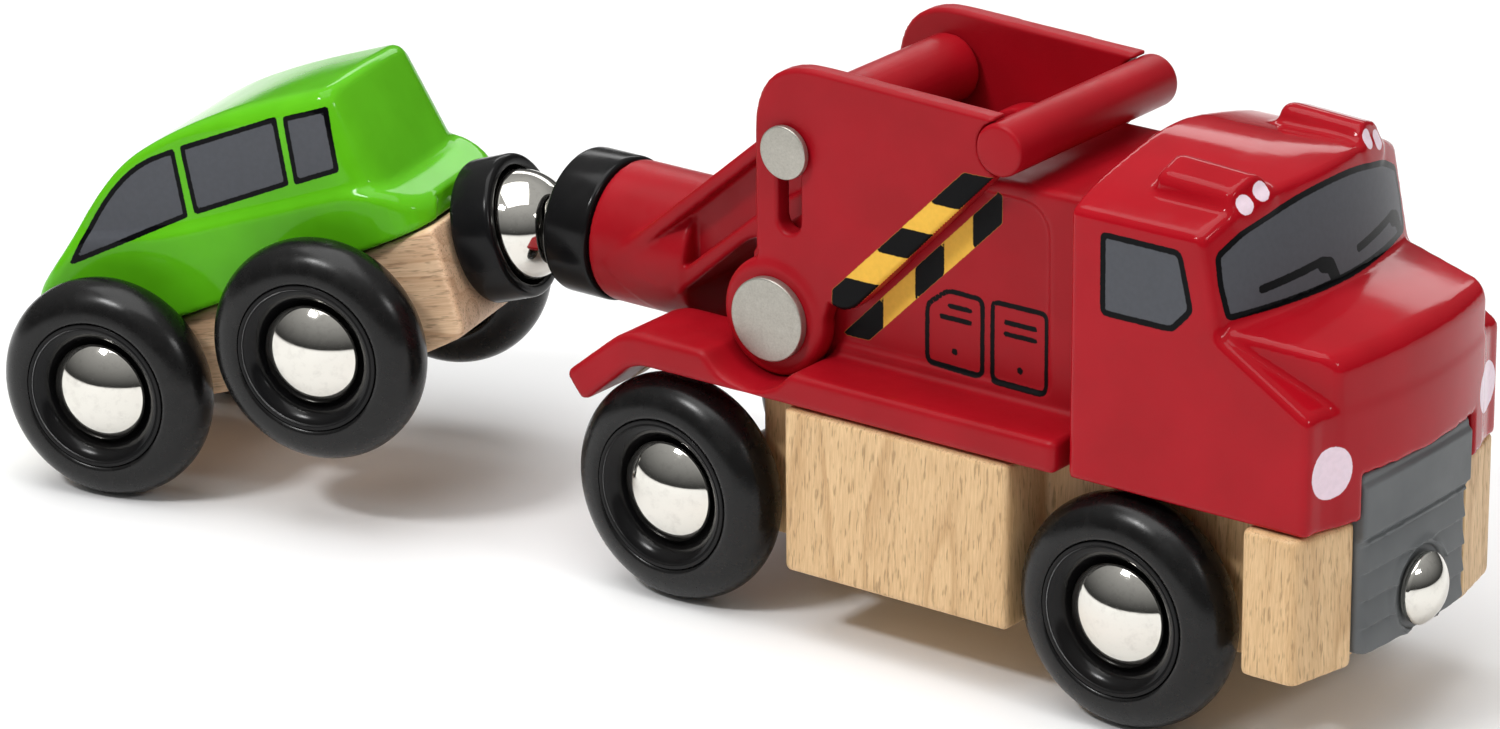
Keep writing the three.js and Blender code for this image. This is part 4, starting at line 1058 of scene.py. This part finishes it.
def boom_field(room):
    """Barrel, pocketed arm, cross hub and the two pin bosses in one moulding."""
    barrel = meet(room.rod(0, (0.0, BARREL_Z), BARREL_RADIUS), room.slab(0, -19.4, -6.0), 0.4)
    side = [[-17.5, 33.0], [-15.2, 35.0], [11.6, 57.75], [18, 53.6], [24, 47], [37, 41.6], [37, 34.6],
            [31, 34.6], [16, 40.4], [3.6, 40.4], [-11.5, 27.1]]
    side = rounded(side, [1, 0.5, 2, 1, 2, 1, 1, 1, 2, 2, 1], 6)
    arm = meet(room.along_y(side), room.slab(1, -8, 8), 0.35)
    web = [[-14.6, 33.4], [-12.3, 35.4], [8.6, 53.1], [13, 48.5], [5.5, 44.1], [-5.2, 35.2], [-9.6, 31.6]]
    web = rounded(web, [0.3, 0.3, 1, 2, 1, 0.3, 0.3])
    pocket = meet(room.along_y(web), 5.4 - np.abs(room.y), 0.3)
    arm = carve(arm, pocket, 0.3)
    barrel_room = np.minimum(room.rod(0, (0.0, BARREL_Z), BARREL_RADIUS),
                             np.minimum(BARREL_Z - 1 - room.z, -7 - room.x))
    arm = np.maximum(arm, barrel_room)
    hub = meet(room.rod(1, (16.4, 57.2), 3.9), room.slab(1, -11.55, 11.55), 0.4)
    boss = meet(room.rod(1, LIFT_PIN, 3.6), room.slab(1, -8, 8))
    pivot = meet(room.rod(1, BOOM_PIVOT, 3.4), room.slab(1, -8, 8), 0.4)
    body = join(join(join(join(barrel, arm, 0.35), hub, 0.5), boss, 0.4), pivot, 0.4)
    body = carve(body, room.rod(1, LIFT_PIN, 1.5))
    return carve(body, room.rod(1, BOOM_PIVOT, 1.85))


room = Room((-20.4, -12.4, 25), (38.4, 12.4, 62.4), 0.34)
boom = moulding("boom_moulding", room, boom_field(room), TRUCK)
settle(boom, "boom", "boom_arm", plain_satin.material)

BARREL_AXIS = (0.0, 0.0, BARREL_Z)
collar = rounded([[6.9, -25.9], [8.35, -25.9], [8.35, -19.7], [0.6, -19.7], [0.6, -21.1], [6.9, -21.1]],
                 [0.25, 0.7, 0.6, 0.1, 0.1, 0.2], 6)
collar = turn("boom_collar", collar, BARREL_AXIS, FORWARD, TRUCK, 96, closed=True)
settle(collar, "boom", "boom_cap_ring", black.material)
magnet = soften([[0, -25.6], [6.6, -25.6], [6.6, -21.4], [0, -21.4]], 0.35)
magnet = turn("magnet_look", magnet, BARREL_AXIS, FORWARD, TRUCK)
settle(magnet, "boom", "boom_magnet", chrome.material)
half_pin = [[0, -15.5], [3, -15.5], [3, -14.7], [1.2, -14.7]]
pin = soften(mirrored(half_pin, 1), 0.2)
pin = turn("lift_pin_look", pin, (LIFT_PIN[0], 0, LIFT_PIN[1]), SIDEWAYS, TRUCK)
settle(pin, "boom", "lift_pin", zinc.material)

# %% [markdown]
# ## Towed car
# The body is a hollow glossy moulding over a beech block.  Above the windows it leans in, and its
# corners are rounded in plan.  A black ring on the tail holds the polished ball.

# %% Car body


SILL_RISE = 0.142


def sill(x):
    """Height of the shell's lower edge, which rises toward the tail."""
    return 5.4 + SILL_RISE * (x - 10)


def car_plan(room, tail, slide, corner):
    """Outline seen from above: narrow bonnet, well rounded tail corners; slide moves the tail forward."""
    outline = mirrored([[-13.6, -8], [-8.6, -11.8], [tail, -11.8], [tail + 0.7, 0]], 1)
    outline = rounded(outline, [4, 4, corner, 9, corner, 4, 4], 8)
    return flat(outline, room.x + slide, room.y)


def car_solid(room, inset):
    """Lower body with a belt line, and the cabin that leans in above it; the inset is the wall."""
    bonnet = [[-5.5, 13.9], [-9.5, 10.9], [-12.8, 7], [-13.3, -8], [46, -8]]
    lower = rounded(bonnet + [[46, 11.0], [42.8, 12.6], [36.5, 16.4], [10, 15.6], [-1, 17]],
                    [3, 2, 2, 0, 0, 0, 3, 4, 3, 1], 8)
    lower = meet(room.along_y(lower), car_plan(room, 43.0, 0.0, 7.5), 1.2)
    upper = rounded(bonnet + [[46, 28.1], [33.6, 28.1], [25, 27.9], [14, 26.3], [7.0, 24.2], [2.2, 20.9]],
                    [3, 2, 2, 0, 0, 0, 1, 5, 4, 3, 3], 8)
    section = mirrored([[11.6, 10], [11.5, 15.4], [10.5, 26.3], [9.2, 27.7], [0, 28.4]])
    section = rounded(section, [0, 3, 0.9, 1.4, 8, 1.4, 0.9, 3, 0], 8)
    cabin = meet(room.along_y(upper), room.along_x(section), 0.9)
    cabin = meet(cabin, car_plan(room, 38.2, 0.22 * np.clip(room.z - 16.0, -6, None), 5.0), 1.3)
    return join(lower, cabin, 0.7) + inset


def car_field(room):
    """Hollow shell above its sill, open at the tail for the ring."""
    body = car_solid(room, 0.0)
    skirt = (sill(room.x) - room.z) / math.hypot(1, SILL_RISE)
    body = meet(body, skirt, 0.35)
    body = carve(body, car_solid(room, CAR_WALL), 0.2)
    return carve(body, meet(room.rod(0, (0.0, 5.9), 8.6), 42.6 - room.x), 0.3)


CAR_WINDOWS = (
    rounded([[-3.6, 13.6], [0.6, 18.0], [4.8, 21.6], [9.2, 23.9], [14.3, 24.6], [13.7, 16.5]],
            [0.8, 3.5, 3.5, 3.5, 0.4, 0.4], 6),
    rounded([[15.1, 24.7], [28.5, 25.9], [27.8, 17.9], [14.6, 16.6]], 0.4, 4),
    rounded([[29.3, 25.7], [35.1, 25.8], [34.6, 18.3], [28.5, 17.8]], 0.4, 4),
)


def car_glass(points):
    """The three side windows, on both flanks."""
    seen = np.min([flat(w, points[:, 0], points[:, 2]) for w in CAR_WINDOWS], axis=0)
    return np.where(np.abs(points[:, 1]) > 8.6, seen, FAR)


room = Room((-14.8, -12.8, 0.4), (45.2, 12.8, 29.2), 0.36)
car = moulding("car_moulding", room, car_field(room), CAR, {"glass": car_glass})
settle(car, "towed_car", "car_shell", gloss_green.material)

# %% Car block, ring and ball
BALL = (48.6, 0.0, 5.9)
BALL_RADIUS, SOCKET_RADIUS = 6.5, 6.85


def car_block_field(room):
    """Block inside the shell, with the ball's socket and the axle bores."""
    side = rounded([[-12, -4.8], [36, -4.8], [43.6, -3.2], [43.6, sill(43.6) - 0.3], [-12, sill(-12) - 0.3]],
                   [1.2, 3, 1.5, 0.6, 0.8], 6)
    body = meet(room.along_y(side), room.slab(1, -10.5, 10.5), 0.6)
    body = carve(body, room.ball(BALL, SOCKET_RADIUS), 0.2)
    for x in (0.0, CAR_WHEELBASE):
        body = carve(body, room.rod(1, (x, 0.0), 1.8), 0.2)
    return body


room = Room((-13.2, -11.6, -6), (44.8, 11.6, 11.4), 0.36)
car_block = moulding("car_block", room, car_block_field(room), CAR)
settle(car_block, "towed_car", "car_chassis", long_beech.material)

ring_back = 4.4
angle = np.linspace(math.acos(ring_back / SOCKET_RADIUS), math.pi / 2 - 0.12, 14)
socket = SOCKET_RADIUS * np.stack([np.sin(angle), -np.cos(angle)], axis=1)
outside = rounded([[6.95, 0.8], [8.3, 0.8], [8.3, -ring_back], [5.3, -ring_back]], [0.3, 0.7, 0.6, 0.1], 6)
ring = turn("tow_ring_look", np.concatenate([socket, outside]), BALL, FORWARD, CAR, 96, closed=True)
settle(ring, "towed_car", "tow_ring", black.material)

angle = np.linspace(0, math.pi, 65)
ball = BALL_RADIUS * np.stack([np.sin(angle), -np.cos(angle)], axis=1)
ball[0, 0] = ball[-1, 0] = 0.0
ball = turn("tow_ball_look", ball, BALL, FORWARD, CAR, 96)
settle(ball, "tow_ball", "tow_ball", chrome.material)

# %% [markdown]
# ## CAD pieces that stay as they are
# Axles, screws and the hidden hinge pin are already plain turned steel, so they keep their meshes and
# only take the zinc finish.

# %% Kept CAD pieces
AXLES = ("rear_axle", "front_axle", "car_front_axle", "car_rear_axle")
KEPT = (*AXLES, "body_screw", "cab_screw", "boom_pivot_pin")
for node in KEPT:
    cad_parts[node].data.materials.clear()
    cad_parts[node].data.materials.append(zinc.material)

# %% [markdown]
# ## Studio
# A plain pale floor in a room that is darker low down and grey above.  A large soft box hangs overhead,
# with a small key beside it, a small fill in front and a long strip behind.  The camera is a long lens
# from the truck's front right.

# %% Floor and light
floor_finish = Finish("floor_paper")
paper = floor_finish.mix(floor_finish.noise(30.0, 4.0), (0.90, 0.90, 0.90), (0.93, 0.93, 0.93))
floor_finish.set(Base_Color=paper, Roughness=0.8)
floor_mesh = bpy.data.meshes.new("floor")
reach = 6.0
corners = [(x * reach, y * reach, 0) for x, y in ((-1, -1), (1, -1), (1, 1), (-1, 1))]
floor_mesh.from_pydata(corners, [], [(0, 1, 2, 3)])
floor = bpy.data.objects.new("floor", floor_mesh)
bpy.context.scene.collection.objects.link(floor)
floor.location.z = SIZE_BEFORE[0][2]
floor_mesh.materials.append(floor_finish.material)

world = bpy.data.worlds.new("room")
bpy.context.scene.world = world
world.use_nodes = True
sky = world.node_tree
toward = sky.nodes.new("ShaderNodeTexCoord").outputs["Generated"]
height = sky.nodes.new("ShaderNodeSeparateXYZ")
sky.links.new(toward, height.inputs[0])
wash = sky.nodes.new("ShaderNodeValToRGB")
for stop, position, grey_level in zip(wash.color_ramp.elements, (0.05, 0.8), (0.05, 0.5)):
    stop.position = position
    stop.color = (grey_level, grey_level, grey_level * 0.99, 1)
sky.links.new(height.outputs[2], wash.inputs[0])
sky.links.new(wash.outputs[0], sky.nodes["Background"].inputs["Color"])


def soft_box(name, place, aim, size, power):
    """Rectangular area light aimed at a point; sizes and places in metres."""
    data = bpy.data.lights.new(name, "AREA")
    data.shape = "RECTANGLE"
    data.size, data.size_y = size
    data.energy = power
    lamp = bpy.data.objects.new(name, data)
    bpy.context.scene.collection.objects.link(lamp)
    lamp.location = place
    lamp.rotation_euler = Vector(aim - place).to_track_quat("-Z", "Y").to_euler()


centre = TRUCK.to_row([[10.0, 0.0, 25.0]])[0]
soft_box("overhead", centre + (-0.1, -0.1, 1.1), centre, (1.2, 0.9), 9.6)
soft_box("key", centre + (-0.2, -0.65, 0.75), centre, (0.2, 0.1), 3.8)
soft_box("front_fill", centre + (0.85, -0.1, 0.6), centre, (0.24, 0.12), 1.4)
soft_box("back_strip", centre + (-0.5, 0.9, 0.5), centre, (0.9, 0.2), 1.4)

# %% Camera
LENS_MM, DISTANCE, AZIMUTH, ELEVATION, ROLL = 156.2, 728.4, 52.80, 20.76, -0.45
target = np.array([-2.872, 0.0, 21.479])
az, el, roll = (math.radians(v) for v in (AZIMUTH, ELEVATION, ROLL))
away = np.array([math.cos(el) * math.cos(az), -math.cos(el) * math.sin(az), math.sin(el)])
side_axis = np.cross(-away, (0, 0, 1))
side_axis /= np.linalg.norm(side_axis)
up_axis = np.cross(side_axis, -away)
right_axis = math.cos(roll) * side_axis + math.sin(roll) * up_axis
top_axis = -math.sin(roll) * side_axis + math.cos(roll) * up_axis
lens = bpy.data.cameras.new("camera")
lens.lens = LENS_MM
lens.sensor_width = 36.0
lens.clip_start, lens.clip_end = 0.01, 50.0
camera = bpy.data.objects.new("camera", lens)
bpy.context.scene.collection.objects.link(camera)
spot = TRUCK.to_row([target + DISTANCE * away])[0]
rows = [[right_axis[i], top_axis[i], away[i], spot[i]] for i in range(3)]
camera.matrix_world = Matrix(rows + [[0, 0, 0, 1]])
bpy.context.scene.camera = camera
bpy.context.scene.view_settings.view_transform = "Standard"
